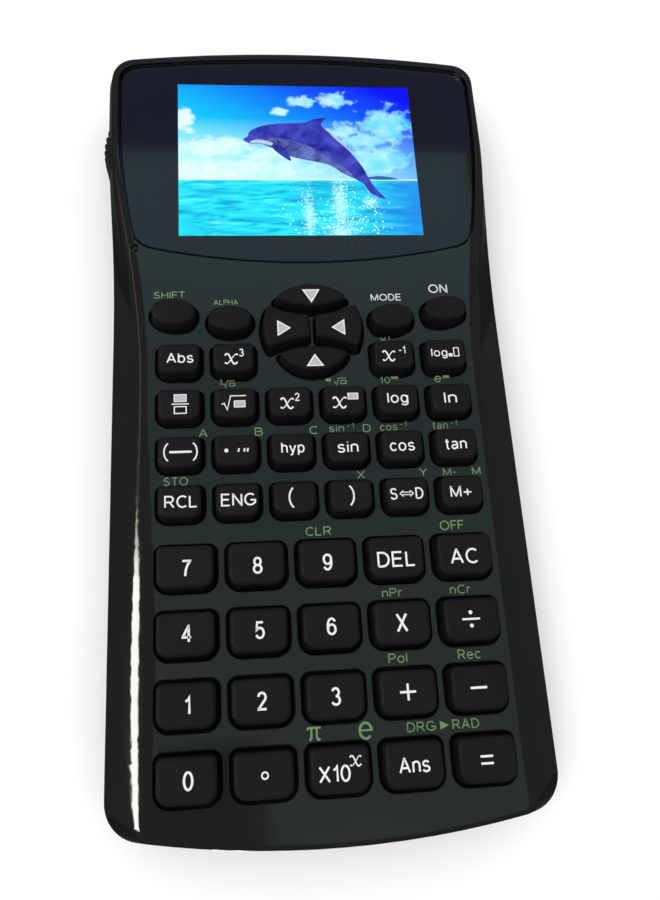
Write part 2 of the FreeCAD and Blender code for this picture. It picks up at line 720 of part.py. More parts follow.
lens_seat = new_body("lens_seat")
pad(lens_seat, "lens_seat_tool", lens_plan(lens_seat, "lens_seat_plan", dim("lens_seat_z"), 0), 3.0)
window = box("screen_window", dim("window_width"), dim("window_height"), dim("screen_x"),
             dim("screen_y"), dim("ceiling_z") - 1, dim("lens_seat_z") + 1)
pilots = [cylinder("pilot_" + name, dim("screw_radius") + 0.05, x, y, dim("split_z") - 1,
                   dim("screw_tip_z") + 0.1) for name, x, y in BOSSES]
slot_outer = cylinder("lever_slot_outer", dim("lever_radius") + 0.35, dim("lever_x"), dim("lever_y"),
                      dim("lever_z") - 0.25, dim("lever_top") + 0.25)
slot_core = cylinder("lever_slot_core", dim("lever_inner") - 1.4, dim("lever_x"), dim("lever_y"),
                     dim("lever_z") - 1, dim("lever_top") + 1)
slot_gate = box("lever_slot_gate", 20, 25, dim("lever_x") - 20, dim("lever_y"), 0, 20)
lever_slot = common("lever_slot", [cut("lever_slot_ring", slot_outer, slot_core), slot_gate])
pip_hole = cylinder("pip_hole", dim("pip_radius"), dim("pip_x"), dim("pip_y"),
                    dim("face_z") - dim("pip_depth"), dim("face_z") + 1)
pip_core = cylinder("pip_core", 0.35, dim("pip_x"), dim("pip_y"),
                    dim("face_z") - dim("pip_depth") - 0.5, dim("face_z") + 2)
pip_ring = cut("pip_ring", pip_hole, pip_core)
front_cuts = fuse("front_cuts", openings + [lens_seat, window, lever_slot, pip_ring] + pilots)
nodes["front_housing"] = label(cut("front_housing_solid", front_solid, front_cuts), "front_housing")

# ---------------------------------------------------------------- rear shell
rear_outer = new_body("rear_outer")
rear_top = case_sizes("edge", dim("seam_step"))
rear_low = case_sizes("edge", dim("rear_draft"))
rear_base = case_sizes("edge", dim("rear_turn"))
loft(rear_outer, "rear_outer_shape", [
    case_plan(rear_outer, "rear_top_plan", dim("split_z"), rear_top),
    case_plan(rear_outer, "rear_low_plan", dim("rear_turn_z"), rear_low),
    case_plan(rear_outer, "rear_base_plan", dim("floor_z"), rear_base)])
rear_inner = new_body("rear_inner")
loft(rear_inner, "rear_inner_shape", [
    case_plan(rear_inner, "rear_inner_top_plan", dim("split_z"), case_sizes("edge", dim("wall"))),
    case_plan(rear_inner, "rear_inner_low_plan", dim("floor_top"),
              case_sizes("edge", dim("rear_draft") + dim("wall")))])
rear_soft = fillet_part("rear_soft", rear_outer, 1.0, at_height(DIMS["floor_z"]))
rear_shell = cut("rear_shell", rear_soft, rear_inner)
rear_bosses = [cylinder("rear_boss_" + name, dim("boss_radius") + 0.2, x, y, 1.5, dim("split_z"))
               for name, x, y in BOSSES]
POSTS = ((-25.0, -68.0), (25.0, -68.0), (-25.0, -2.0), (25.0, -2.0), (-22.0, 27.0), (22.0, 27.0),
         (25.0, 69.0), (-18.0, 70.0))
rear_posts = [cylinder("rear_post_%d" % i, dim("rear_post_radius"), x, y, 1.5, dim("board_z"))
              for i, (x, y) in enumerate(POSTS)]
lever_seat = cylinder("lever_seat", dim("lever_hub_radius"), dim("lever_x"), dim("lever_y"),
                      1.5, dim("lever_z") - 0.1)
lever_pin = cylinder("lever_pin", dim("lever_pin_radius"), dim("lever_x"), dim("lever_y"),
                     1.5, dim("lever_arm_top") + 0.1)
rear_solid = fuse("rear_solid", [rear_shell, lever_seat, lever_pin] + rear_bosses + rear_posts)
FEET = [(dim("foot_x") * side, dim("foot_%s_y" % end)) for end in ("low", "high") for side in (-1, 1)]
foot_seats = [cylinder("foot_seat_%d" % i, dim("foot_radius") + 0.1, x, y, 0, dim("floor_z") + dim("foot_sink"))
              for i, (x, y) in enumerate(FEET)]
head_holes = [cylinder("head_hole_" + name, dim("screw_head_radius") + 0.25, x, y, 0,
                       dim("screw_head_seat")) for name, x, y in BOSSES]
shank_holes = [cylinder("shank_hole_" + name, dim("screw_radius") + 0.15, x, y, 0,
                        dim("split_z") + 1) for name, x, y in BOSSES]
label_recess = box("label_recess", 44, 30, 0, -30, 0, dim("floor_z") + 0.25)
rear_cuts = fuse("rear_cuts", foot_seats + head_holes + shank_holes + [lever_slot, label_recess])
nodes["rear_housing"] = label(cut("rear_housing_solid", rear_solid, rear_cuts), "rear_housing")

# ---------------------------------------------------------------- lens and display
lens = new_body("lens_body")
lens_pad = pad(lens, "lens_plate", lens_plan(lens, "lens_body_plan", dim("lens_seat_z"), dim("lens_gap")),
               dim("face_z") - dim("lens_seat_z"))
doc.recompute()
lens_edge = lens.newObject("PartDesign::Chamfer", "lens_edge")
lens_edge.Base = (lens_pad, edge_names(lens_pad.Shape, at_height(DIMS["face_z"])))
lens_edge.Size = 0.15
nodes["display_lens"] = label(lens, "display_lens")

board_top = dim("board_z") + dim("board_thick")
tray = box("module_tray", dim("module_width"), dim("module_height"), dim("screen_x"), dim("screen_y"),
           board_top, dim("glass_z"))
glass = box("module_glass", dim("module_width") - 3, dim("module_height") - 0.8, dim("screen_x"),
            dim("screen_y"), dim("glass_z"), dim("ceiling_z"))
tail = box("module_tail", 22, 9, dim("screen_x"), dim("screen_y") - dim("module_height") / 2 - 3.5,
           board_top, board_top + 0.25)
nodes["lcd_module"] = label(fuse("lcd_solid", [tray, glass, tail]), "lcd_module")

# ---------------------------------------------------------------- board, sheet, cell
board_length = dim("board_top") + dim("board_bottom")
board_mid = (dim("board_top") - dim("board_bottom")) / 2
board_body = new_body("board_body")
pad(board_body, "board_plate", rounded_plan(board_body, "board_plan", dim("board_z"), dim("board_half") * 2,
                                            board_length, quantity(3.0), quantity(3.0)), dim("board_thick"))
place(board_body, 0, board_mid, 0)
CHIPS = ((9.0, 9.0, 8.0, 12.0, 1.0), (8.0, 12.0, -6.0, 14.0, 1.1), (5.0, 5.0, 14.0, 40.0, 1.3),
         (3.2, 6.5, -20.0, 8.0, 1.5), (6.0, 4.0, 20.0, 55.0, 1.0), (10.0, 6.0, 4.0, 62.0, 0.9))
chips = [box("chip_%d" % i, w, d, x, y, dim("board_z") - h, dim("board_z"))
         for i, (w, d, x, y, h) in enumerate(CHIPS)]
nodes["circuit_board"] = label(fuse("board_solid", [board_body] + chips), "circuit_board")

sheet_length = dim("sheet_top") + dim("sheet_bottom")
sheet_mid = (dim("sheet_top") - dim("sheet_bottom")) / 2
sheet_body = new_body("sheet_body")
pad(sheet_body, "sheet_plate", rounded_plan(sheet_body, "sheet_plan", board_top, dim("sheet_half") * 2,
                                            sheet_length, quantity(3.0), quantity(3.0)), dim("sheet_thick"))
place(sheet_body, 0, sheet_mid, 0)
sheet_z = board_top + dim("sheet_thick")
domes = [cone("dome_" + node, dim("dome_low_radius"), dim("dome_high_radius"), x, y, sheet_z - 0.1,
              sheet_z + dim("dome_height")) for node, x, y in centres]
nodes["keypad_membrane"] = label(fuse("sheet_solid", [sheet_body] + domes), "keypad_membrane")

cell_top = dim("floor_top") + dim("cell_thick")
cell_raw = box("cell_pouch", dim("cell_width"), dim("cell_length"), 0, dim("cell_y"), dim("floor_top"), cell_top)
cell_soft = fillet_part("cell_soft", cell_raw, 1.2, upright)
strip = box("cell_strip", 24, 3.5, 0, dim("cell_y") + dim("cell_length") / 2 + 1.25,
            dim("floor_top") + 0.5, dim("floor_top") + 3.0)
nodes["battery_pack"] = label(fuse("cell_solid", [cell_soft, strip]), "battery_pack")

# ---------------------------------------------------------------- screws, feet, lever
screws = []
for name, x, y in BOSSES:
    seat = dim("screw_head_seat")
    head = cylinder("screw_head_" + name, dim("screw_head_radius"), x, y, seat - dim("screw_head_thick"), seat)
    shank = cylinder("screw_shank_" + name, dim("screw_radius"), x, y, seat - 0.1, dim("screw_tip_z"))
    bar_a = box("screw_slot_a_" + name, 2.4, 0.5, x, y, seat - 2.5, seat - 0.9)
    bar_b = box("screw_slot_b_" + name, 0.5, 2.4, x, y, seat - 2.5, seat - 0.9)
    whole = fuse("screw_whole_" + name, [head, shank])
    cross = fuse("screw_cross_" + name, [bar_a, bar_b])
    screws.append(cut("screw_" + name, whole, cross))
screw_group = doc.addObject("Part::Compound", "screw_group")
screw_group.Links = screws
nodes["case_screws"] = label(screw_group, "case_screws")

feet = []
for i, (x, y) in enumerate(FEET):
    disc = cylinder("foot_disc_%d" % i, dim("foot_radius"), x, y, 0, dim("floor_z") + dim("foot_sink"))
    feet.append(fillet_part("foot_%d" % i, disc, 0.3, at_height(0.0)))
foot_group = doc.addObject("Part::Compound", "foot_group")
foot_group.Links = feet
nodes["rubber_feet"] = label(foot_group, "rubber_feet")

lever_x, lever_y = dim("lever_x"), dim("lever_y")
rim = cylinder("lever_rim", dim("lever_radius"), lever_x, lever_y, dim("lever_z"), dim("lever_top"))
rim.setExpression("Angle", "2 * dims.lever_half_angle")
rim.Placement = FreeCAD.Placement(rim.Placement.Base, FreeCAD.Rotation(
    FreeCAD.Vector(0, 0, 1), 180 - DIMS["lever_half_angle"]))
bore_out = cylinder("lever_clear", dim("lever_inner"), lever_x, lever_y, dim("lever_z") - 1, dim("lever_top") + 1)
arc_part = cut("lever_arc", rim, bore_out)
arm = box("lever_arm", dim("lever_inner") + 1, 5, lever_x - (dim("lever_inner") + 1) / 2, lever_y,
          dim("lever_z"), dim("lever_arm_top"))
hub = cylinder("lever_hub", dim("lever_hub_radius"), lever_x, lever_y, dim("lever_z"), dim("lever_arm_top"))
grooves = []
for i in range(7):
    angle = math.radians(180 + (i - 2.4) * 5.6)
    grooves.append(cylinder("lever_groove_%d" % i, dim("ridge_radius"),
                            lever_x + (dim("lever_radius") + 0.2) * math.cos(angle),
                            lever_y + (dim("lever_radius") + 0.2) * math.sin(angle),
                            dim("lever_z") - 1, dim("lever_top") + 1))
pin_hole = cylinder("lever_pin_hole", dim("lever_pin_radius") + 0.08, lever_x, lever_y,
                    dim("lever_z") - 1, dim("lever_top") + 1)
lever_whole = fuse("lever_whole", [arc_part, arm, hub])
lever_cuts = fuse("lever_cuts", grooves + [pin_hole])
nodes["jog_lever"] = label(cut("lever_solid", lever_whole, lever_cuts), "jog_lever")

doc.recompute()

# ---------------------------------------------------------------- checks and export
for obj in doc.Objects:
    bad = [state for state in obj.State if state in ("Invalid", "Error")]
    assert not bad, "%s is %s" % (obj.Name, bad)
os.makedirs("parts", exist_ok=True)
assert len(nodes) <= 60, len(nodes)
for node, obj in nodes.items():
    shape = obj.Shape
    assert not shape.isNull() and shape.isValid(), node
    assert shape.Volume > 1.0, node
    shape.exportStep("parts/%s.step" % node)
print("wrote", len(nodes), "parts")
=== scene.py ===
import itertools
import math
import random

import bmesh
import bpy
from mathutils import Matrix, Vector


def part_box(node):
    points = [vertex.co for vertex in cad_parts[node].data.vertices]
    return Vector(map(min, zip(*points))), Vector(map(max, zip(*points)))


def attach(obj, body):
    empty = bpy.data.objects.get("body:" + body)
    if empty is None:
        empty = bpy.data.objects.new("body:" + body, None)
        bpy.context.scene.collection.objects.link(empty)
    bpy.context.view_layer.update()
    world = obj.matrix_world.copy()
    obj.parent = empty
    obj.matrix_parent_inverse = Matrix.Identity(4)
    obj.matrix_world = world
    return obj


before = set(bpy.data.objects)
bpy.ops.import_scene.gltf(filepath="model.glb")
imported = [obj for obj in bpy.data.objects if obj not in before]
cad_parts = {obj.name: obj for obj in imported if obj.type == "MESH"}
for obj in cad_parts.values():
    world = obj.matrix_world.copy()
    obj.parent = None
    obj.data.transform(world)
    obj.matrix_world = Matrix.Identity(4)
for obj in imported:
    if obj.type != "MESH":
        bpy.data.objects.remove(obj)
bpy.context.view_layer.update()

MM = 0.001
FACE_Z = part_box("front_housing")[1].z        # flat face of the shell
CAP_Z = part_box("key_7")[1].z                 # top of every key cap
INK = 0.000008                               # height of printed ink

# ------------------------------------------------------------------ camera
# Where the camera stands and the spot it looks at, both measured from the flat face in millimetres.
EYE = (-14.04, -59.65, 144.05)
AIM = (2.02, -12.17, 0.0)
ROLL_DEG = 15.95
LENS_MM = 33.16


def make_camera():
    data = bpy.data.cameras.new("camera")
    data.lens = LENS_MM
    data.sensor_width = 36.0
    data.clip_start = 0.005
    data.clip_end = 20.0
    obj = bpy.data.objects.new("camera", data)
    bpy.context.scene.collection.objects.link(obj)
    eye, aim = (Vector(spot) * MM + Vector((0, 0, FACE_Z)) for spot in (EYE, AIM))
    level = (aim - eye).to_track_quat("-Z", "Y").to_matrix()
    turn = level @ Matrix.Rotation(math.radians(ROLL_DEG), 3, "Z")
    obj.matrix_world = Matrix.Translation(eye) @ turn.to_4x4()
    bpy.context.scene.camera = obj


make_camera()


# ------------------------------------------------------------------ node helpers
class Nodes:
    """A short way to write a node tree."""

    def __init__(self, tree):
        self.tree = tree

    def add(self, kind, **values):
        node = self.tree.nodes.new(kind)
        for key, value in values.items():
            setattr(node, key, value)
        return node

    def link(self, out, into):
        self.tree.links.new(out, into)

    def feed(self, node, **inputs):
        """Set or link sockets by name; _ stands for a space."""
        for key, value in inputs.items():
            socket = node.inputs[key.replace("_", " ")]
            if isinstance(value, bpy.types.NodeSocket):
                self.link(value, socket)
            else:
                socket.default_value = value
        return node

    def math(self, operation, a, b=0.0, clamp=False):
        node = self.add("ShaderNodeMath", operation=operation, use_clamp=clamp)
        for index, value in enumerate((a, b)):
            if isinstance(value, bpy.types.NodeSocket):
                self.link(value, node.inputs[index])
            else:
                node.inputs[index].default_value = value
        return node.outputs[0]

    def ramp(self, value, stops, mode="LINEAR"):
        node = self.add("ShaderNodeValToRGB")
        node.color_ramp.interpolation = mode
        elements = node.color_ramp.elements
        while len(elements) < len(stops):
            elements.new(0.5)
        for element, (at, colour) in zip(elements, stops):
            element.position = at
            element.color = (*colour, 1.0) if len(colour) == 3 else colour
        self.link(value, node.inputs[0])
        return node.outputs[0]

    def noise(self, vector, scale, detail=3.0, rough=0.5, distort=0.0):
        node = self.add("ShaderNodeTexNoise")
        self.feed(node, Vector=vector, Scale=scale, Detail=detail, Roughness=rough, Distortion=distort)
        return node.outputs["Fac"]

    def mix(self, fac, a, b, blend="MIX"):
        node = self.add("ShaderNodeMix", data_type="RGBA", blend_type=blend)
        for socket, value in ((node.inputs[0], fac), (node.inputs[6], a), (node.inputs[7], b)):
            if isinstance(value, bpy.types.NodeSocket):
                self.link(value, socket)
            elif isinstance(value, (int, float)):
                socket.default_value = value
            else:
                socket.default_value = (*value, 1.0)
        return node.outputs[2]

    def spread(self, value, low, high):
        """Map noise, which mostly lies between 0.3 and 0.7, onto low..high."""
        node = self.add("ShaderNodeMapRange")
        self.feed(node, Value=value, From_Min=0.3, From_Max=0.7, To_Min=low, To_Max=high)
        return node.outputs[0]

    def above(self, value, limit):
        return self.math("GREATER_THAN", value, limit)

    def below(self, value, limit):
        return self.math("LESS_THAN", value, limit)

    def every(self, *tests):
        """1 where every test holds."""
        out = tests[0]
        for test in tests[1:]:
            out = self.math("MULTIPLY", out, test)
        return out


def material(name):
    """A new material with its node writer, its shader and the point being shaded."""
    mat = bpy.data.materials.new(name)
    mat.use_nodes = True
    mat.node_tree.nodes.clear()
    nodes = Nodes(mat.node_tree)
    out = nodes.add("ShaderNodeOutputMaterial")
    shader = nodes.add("ShaderNodeBsdfPrincipled")
    nodes.link(shader.outputs[0], out.inputs[0])
    where = nodes.add("ShaderNodeTexCoord").outputs["Object"]
    return mat, nodes, shader, where


def moulded(name, colour, rough, rough_spread, grain_mm, grain_depth_mm, ior=1.48, edge_mm=0.12,
            level=0.5, tint=0.2):
    """Moulded plastic or rubber: grain bump, uneven gloss, slight colour drift, softened edges."""
    mat, nodes, shader, where = material(name)
    drift = nodes.noise(where, 60.0, 4.0)
    dark = tuple(c * (1.0 - tint) for c in colour)
    light = tuple(c * (1.0 + tint) for c in colour)
    nodes.feed(shader, Base_Color=nodes.mix(drift, dark, light), IOR=ior, Specular_IOR_Level=level)
    smears = nodes.noise(where, 140.0, 5.0, 0.6, 0.4)
    nodes.feed(shader, Roughness=nodes.spread(smears, rough - rough_spread, rough + rough_spread))
    grain = nodes.noise(where, 1.0 / (grain_mm * MM), 2.0, 0.6)
    soft = nodes.add("ShaderNodeBevel", samples=4)
    soft.inputs["Radius"].default_value = edge_mm * MM
    bump = nodes.add("ShaderNodeBump")
    nodes.feed(bump, Height=grain, Distance=grain_depth_mm * MM, Strength=1.0, Normal=soft.outputs[0])
    nodes.link(bump.outputs[0], shader.inputs["Normal"])
    return mat


def ink(name, colour):
    """Printed legend ink: slightly uneven, semi-matt."""
    mat, nodes, shader, where = material(name)
    speck = nodes.noise(where, 4000.0, 2.0)
    thin = tuple(c * 0.86 for c in colour)
    nodes.feed(shader, Base_Color=nodes.mix(speck, thin, colour), Roughness=0.55, IOR=1.45)
    bump = nodes.add("ShaderNodeBump")
    nodes.feed(bump, Height=speck, Distance=0.004 * MM, Strength=0.6)
    nodes.link(bump.outputs[0], shader.inputs["Normal"])
    return mat


def brushed(name, colour, rough):
    """Metal with fine lines drawn along one axis."""
    mat, nodes, shader, where = material(name)
    stretch = nodes.add("ShaderNodeMapping")
    stretch.inputs["Scale"].default_value = (1.0, 14.0, 1.0)
    nodes.link(where, stretch.inputs[0])
    lines = nodes.noise(stretch.outputs[0], 1800.0, 3.0)
    nodes.feed(shader, Base_Color=nodes.mix(lines, tuple(c * 0.8 for c in colour), colour), Metallic=1.0)
    nodes.feed(shader, Roughness=nodes.spread(lines, rough, rough + 0.15))
    return mat


def board_material():
    """Green solder mask with faint copper runs."""
    mat, nodes, shader, where = material("board_green")
    tracks = nodes.add("ShaderNodeTexBrick")
    nodes.feed(tracks, Vector=where, Scale=260.0, Mortar_Size=0.03)
    tracks.inputs["Color1"].default_value = (0.012, 0.10, 0.035, 1)
    tracks.inputs["Color2"].default_value = (0.014, 0.12, 0.04, 1)
    tracks.inputs["Mortar"].default_value = (0.05, 0.26, 0.09, 1)
    nodes.feed(shader, Base_Color=tracks.outputs["Color"], Roughness=0.35)
    bump = nodes.add("ShaderNodeBump")
    nodes.feed(bump, Height=tracks.outputs["Fac"], Distance=0.03 * MM)
    nodes.link(bump.outputs[0], shader.inputs["Normal"])
    return mat


def lens_material():
    """Clear sheet with a smoke tint and the faintest waviness, coated so that the screen stays clear."""
    mat, nodes, shader, where = material("lens_clear")
    wave = nodes.noise(where, 45.0, 2.0)
    nodes.feed(shader, Base_Color=nodes.mix(wave, (0.90, 0.92, 0.95), (0.93, 0.94, 0.96)), IOR=1.49)
    shader.inputs["Transmission Weight"].default_value = 1.0
    shader.inputs["Specular Tint"].default_value = (0.08, 0.08, 0.08, 1.0)
    nodes.feed(shader, Roughness=nodes.spread(nodes.noise(where, 300.0, 4.0), 0.0, 0.02))
    bump = nodes.add("ShaderNodeBump")
    nodes.feed(bump, Height=wave, Distance=0.01 * MM, Strength=0.4)
    nodes.link(bump.outputs[0], shader.inputs["Normal"])
    return mat


SHELL = moulded("shell_gloss", (0.0040, 0.0041, 0.0041), 0.07, 0.015, grain_mm=0.5,
                grain_depth_mm=0.0004, ior=1.5, edge_mm=0.25)
REAR = moulded("shell_rear", (0.0085, 0.0086, 0.0088), 0.42, 0.06, grain_mm=0.18,
               grain_depth_mm=0.012, edge_mm=0.2, level=0.3)
CAP = moulded("cap_matt", (0.0093, 0.0094, 0.0090), 0.5, 0.05, grain_mm=0.12,
              grain_depth_mm=0.006, ior=1.46, level=0.05)
LEVER = moulded("lever_matt", (0.0085, 0.0083, 0.008), 0.4, 0.06, grain_mm=0.14,
                grain_depth_mm=0.006, ior=1.46, edge_mm=0.1, level=0.3)
DOMES = moulded("dome_silicone", (0.36, 0.37, 0.38), 0.5, 0.06, grain_mm=0.3,
                grain_depth_mm=0.004, ior=1.41, edge_mm=0.1)
FEET = moulded("foot_rubber", (0.018, 0.018, 0.018), 0.75, 0.06, grain_mm=0.25,
               grain_depth_mm=0.02, ior=1.5, edge_mm=0.1)
TRAY = moulded("module_tray", (0.03, 0.032, 0.036), 0.3, 0.05, grain_mm=0.4,
               grain_depth_mm=0.003, ior=1.5, edge_mm=0.1)
PRINT = moulded("lens_print", (0.0016, 0.0017, 0.0022), 0.05, 0.01, grain_mm=0.5,
                grain_depth_mm=0.0002, ior=1.5, edge_mm=0.02)
CELL = brushed("cell_foil", (0.55, 0.56, 0.58), 0.3)
SCREW = brushed("screw_steel", (0.16, 0.16, 0.165), 0.32)
BOARD = board_material()
LENS = lens_material()
WHITE = ink("ink_white", (0.74, 0.75, 0.74))
GREEN = ink("ink_green", (0.16, 0.29, 0.10))
GREY = ink("ink_grey", (0.42, 0.43, 0.43))

# The finish of each CAD node; every key, which isn't named here, gets CAP.
NODE_FINISH = {
    "front_housing": SHELL, "rear_housing": REAR, "display_lens": LENS, "lcd_module": TRAY,
    "circuit_board": BOARD, "keypad_membrane": DOMES, "battery_pack": CELL, "case_screws": SCREW,
    "rubber_feet": FEET, "jog_lever": LEVER,
}


def finish_node(name):
    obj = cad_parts[name]
    mat = NODE_FINISH.get(name, CAP)
    if obj.data.materials:
        for slot in obj.material_slots:
            slot.material = mat
    else:
        obj.data.materials.append(mat)


for node_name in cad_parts:
    finish_node(node_name)


# ------------------------------------------------------------------ pieces
def piece_from(bm, name, mat, body):
    """Turn a bmesh into a named piece that rides on a body."""
    mesh = bpy.data.meshes.new(name)
    bm.to_mesh(mesh)
    bm.free()
    mesh.materials.append(mat)
    obj = bpy.data.objects.new(name, mesh)
    bpy.context.scene.collection.objects.link(obj)
    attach(obj, body)
    return obj


LIFTS = itertools.cycle(range(10))
LIFT_STEP = 0.0000012


def next_lift():
    """Height of the next printed shape: each lies a hair above the last, so crossings stay clean."""
    return INK + LIFT_STEP * next(LIFTS)


def add_shape(bm, points, z, thick=0.0):
    """A flat outline in millimetres resting on z; z and thick are in metres."""
    lift = next_lift()
    low = [bm.verts.new((x * MM, y * MM, z if thick else z + lift)) for x, y in points]
    face = bm.faces.new(low)
    face.normal_update()
    if thick:
        if face.normal.z > 0:
            face.normal_flip()
        grown = bmesh.ops.extrude_face_region(bm, geom=[face])
        for vert in (g for g in grown["geom"] if isinstance(g, bmesh.types.BMVert)):
            vert.co.z += thick
    elif face.normal.z < 0:
        face.normal_flip()


def box_points(x, y, w, h):
    """The corners of a box round x, y."""
    right, top = w / 2, h / 2
    return [(x - right, y - top), (x + right, y - top), (x + right, y + top), (x - right, y + top)]


def ring_points(x, y, r, count=20):
    """Points round a circle."""
    return [(x + r * math.cos(2 * math.pi * i / count), y + r * math.sin(2 * math.pi * i / count))
            for i in range(count)]


def add_frame(bm, x, y, w, h, line, z):
    """A hollow box drawn with four bars."""
    for cx, cy, bw, bh in ((x, y + (h - line) / 2, w, line), (x, y - (h - line) / 2, w, line),
                           (x - (w - line) / 2, y, line, h), (x + (w - line) / 2, y, line, h)):
        add_shape(bm, box_points(cx, cy, bw, bh), z)


def add_stroke(bm, points, width, z):
    """A line of even width along points, mitred at its bends."""
    path = [Vector(p) for p in points]
    sides = []
    for i, here in enumerate(path):
        back = (here - path[i - 1]).normalized() if i else None
        on = (path[i + 1] - here).normalized() if i + 1 < len(path) else None
        run = (back or on) + (on or back)
        run = run.normalized() if run.length > 1e-6 else (on or back)
        reach = width / 2 / max(0.45, run.dot(on or back))
        sides.append((here + Vector((-run.y, run.x)) * reach, here - Vector((-run.y, run.x)) * reach))
    lift = z + next_lift()
    made = [[bm.verts.new((p.x * MM, p.y * MM, lift)) for p in pair] for pair in sides]
    for (a, b), (c, d) in zip(made, made[1:]):
        face = bm.faces.new((a, b, d, c))
        face.normal_update()
        if face.normal.z < 0:
            face.normal_flip()


def arc(x, y, rx, ry, start, stop, count=14):
    """Points along an oval arc, angles in degrees."""
    turn = [math.radians(start + (stop - start) * i / count) for i in range(count + 1)]
    return [(x + rx * math.cos(a), y + ry * math.sin(a)) for a in turn]


def oval(x, y, rx, ry):
    return arc(x, y, rx, ry, 90, 450, 22)


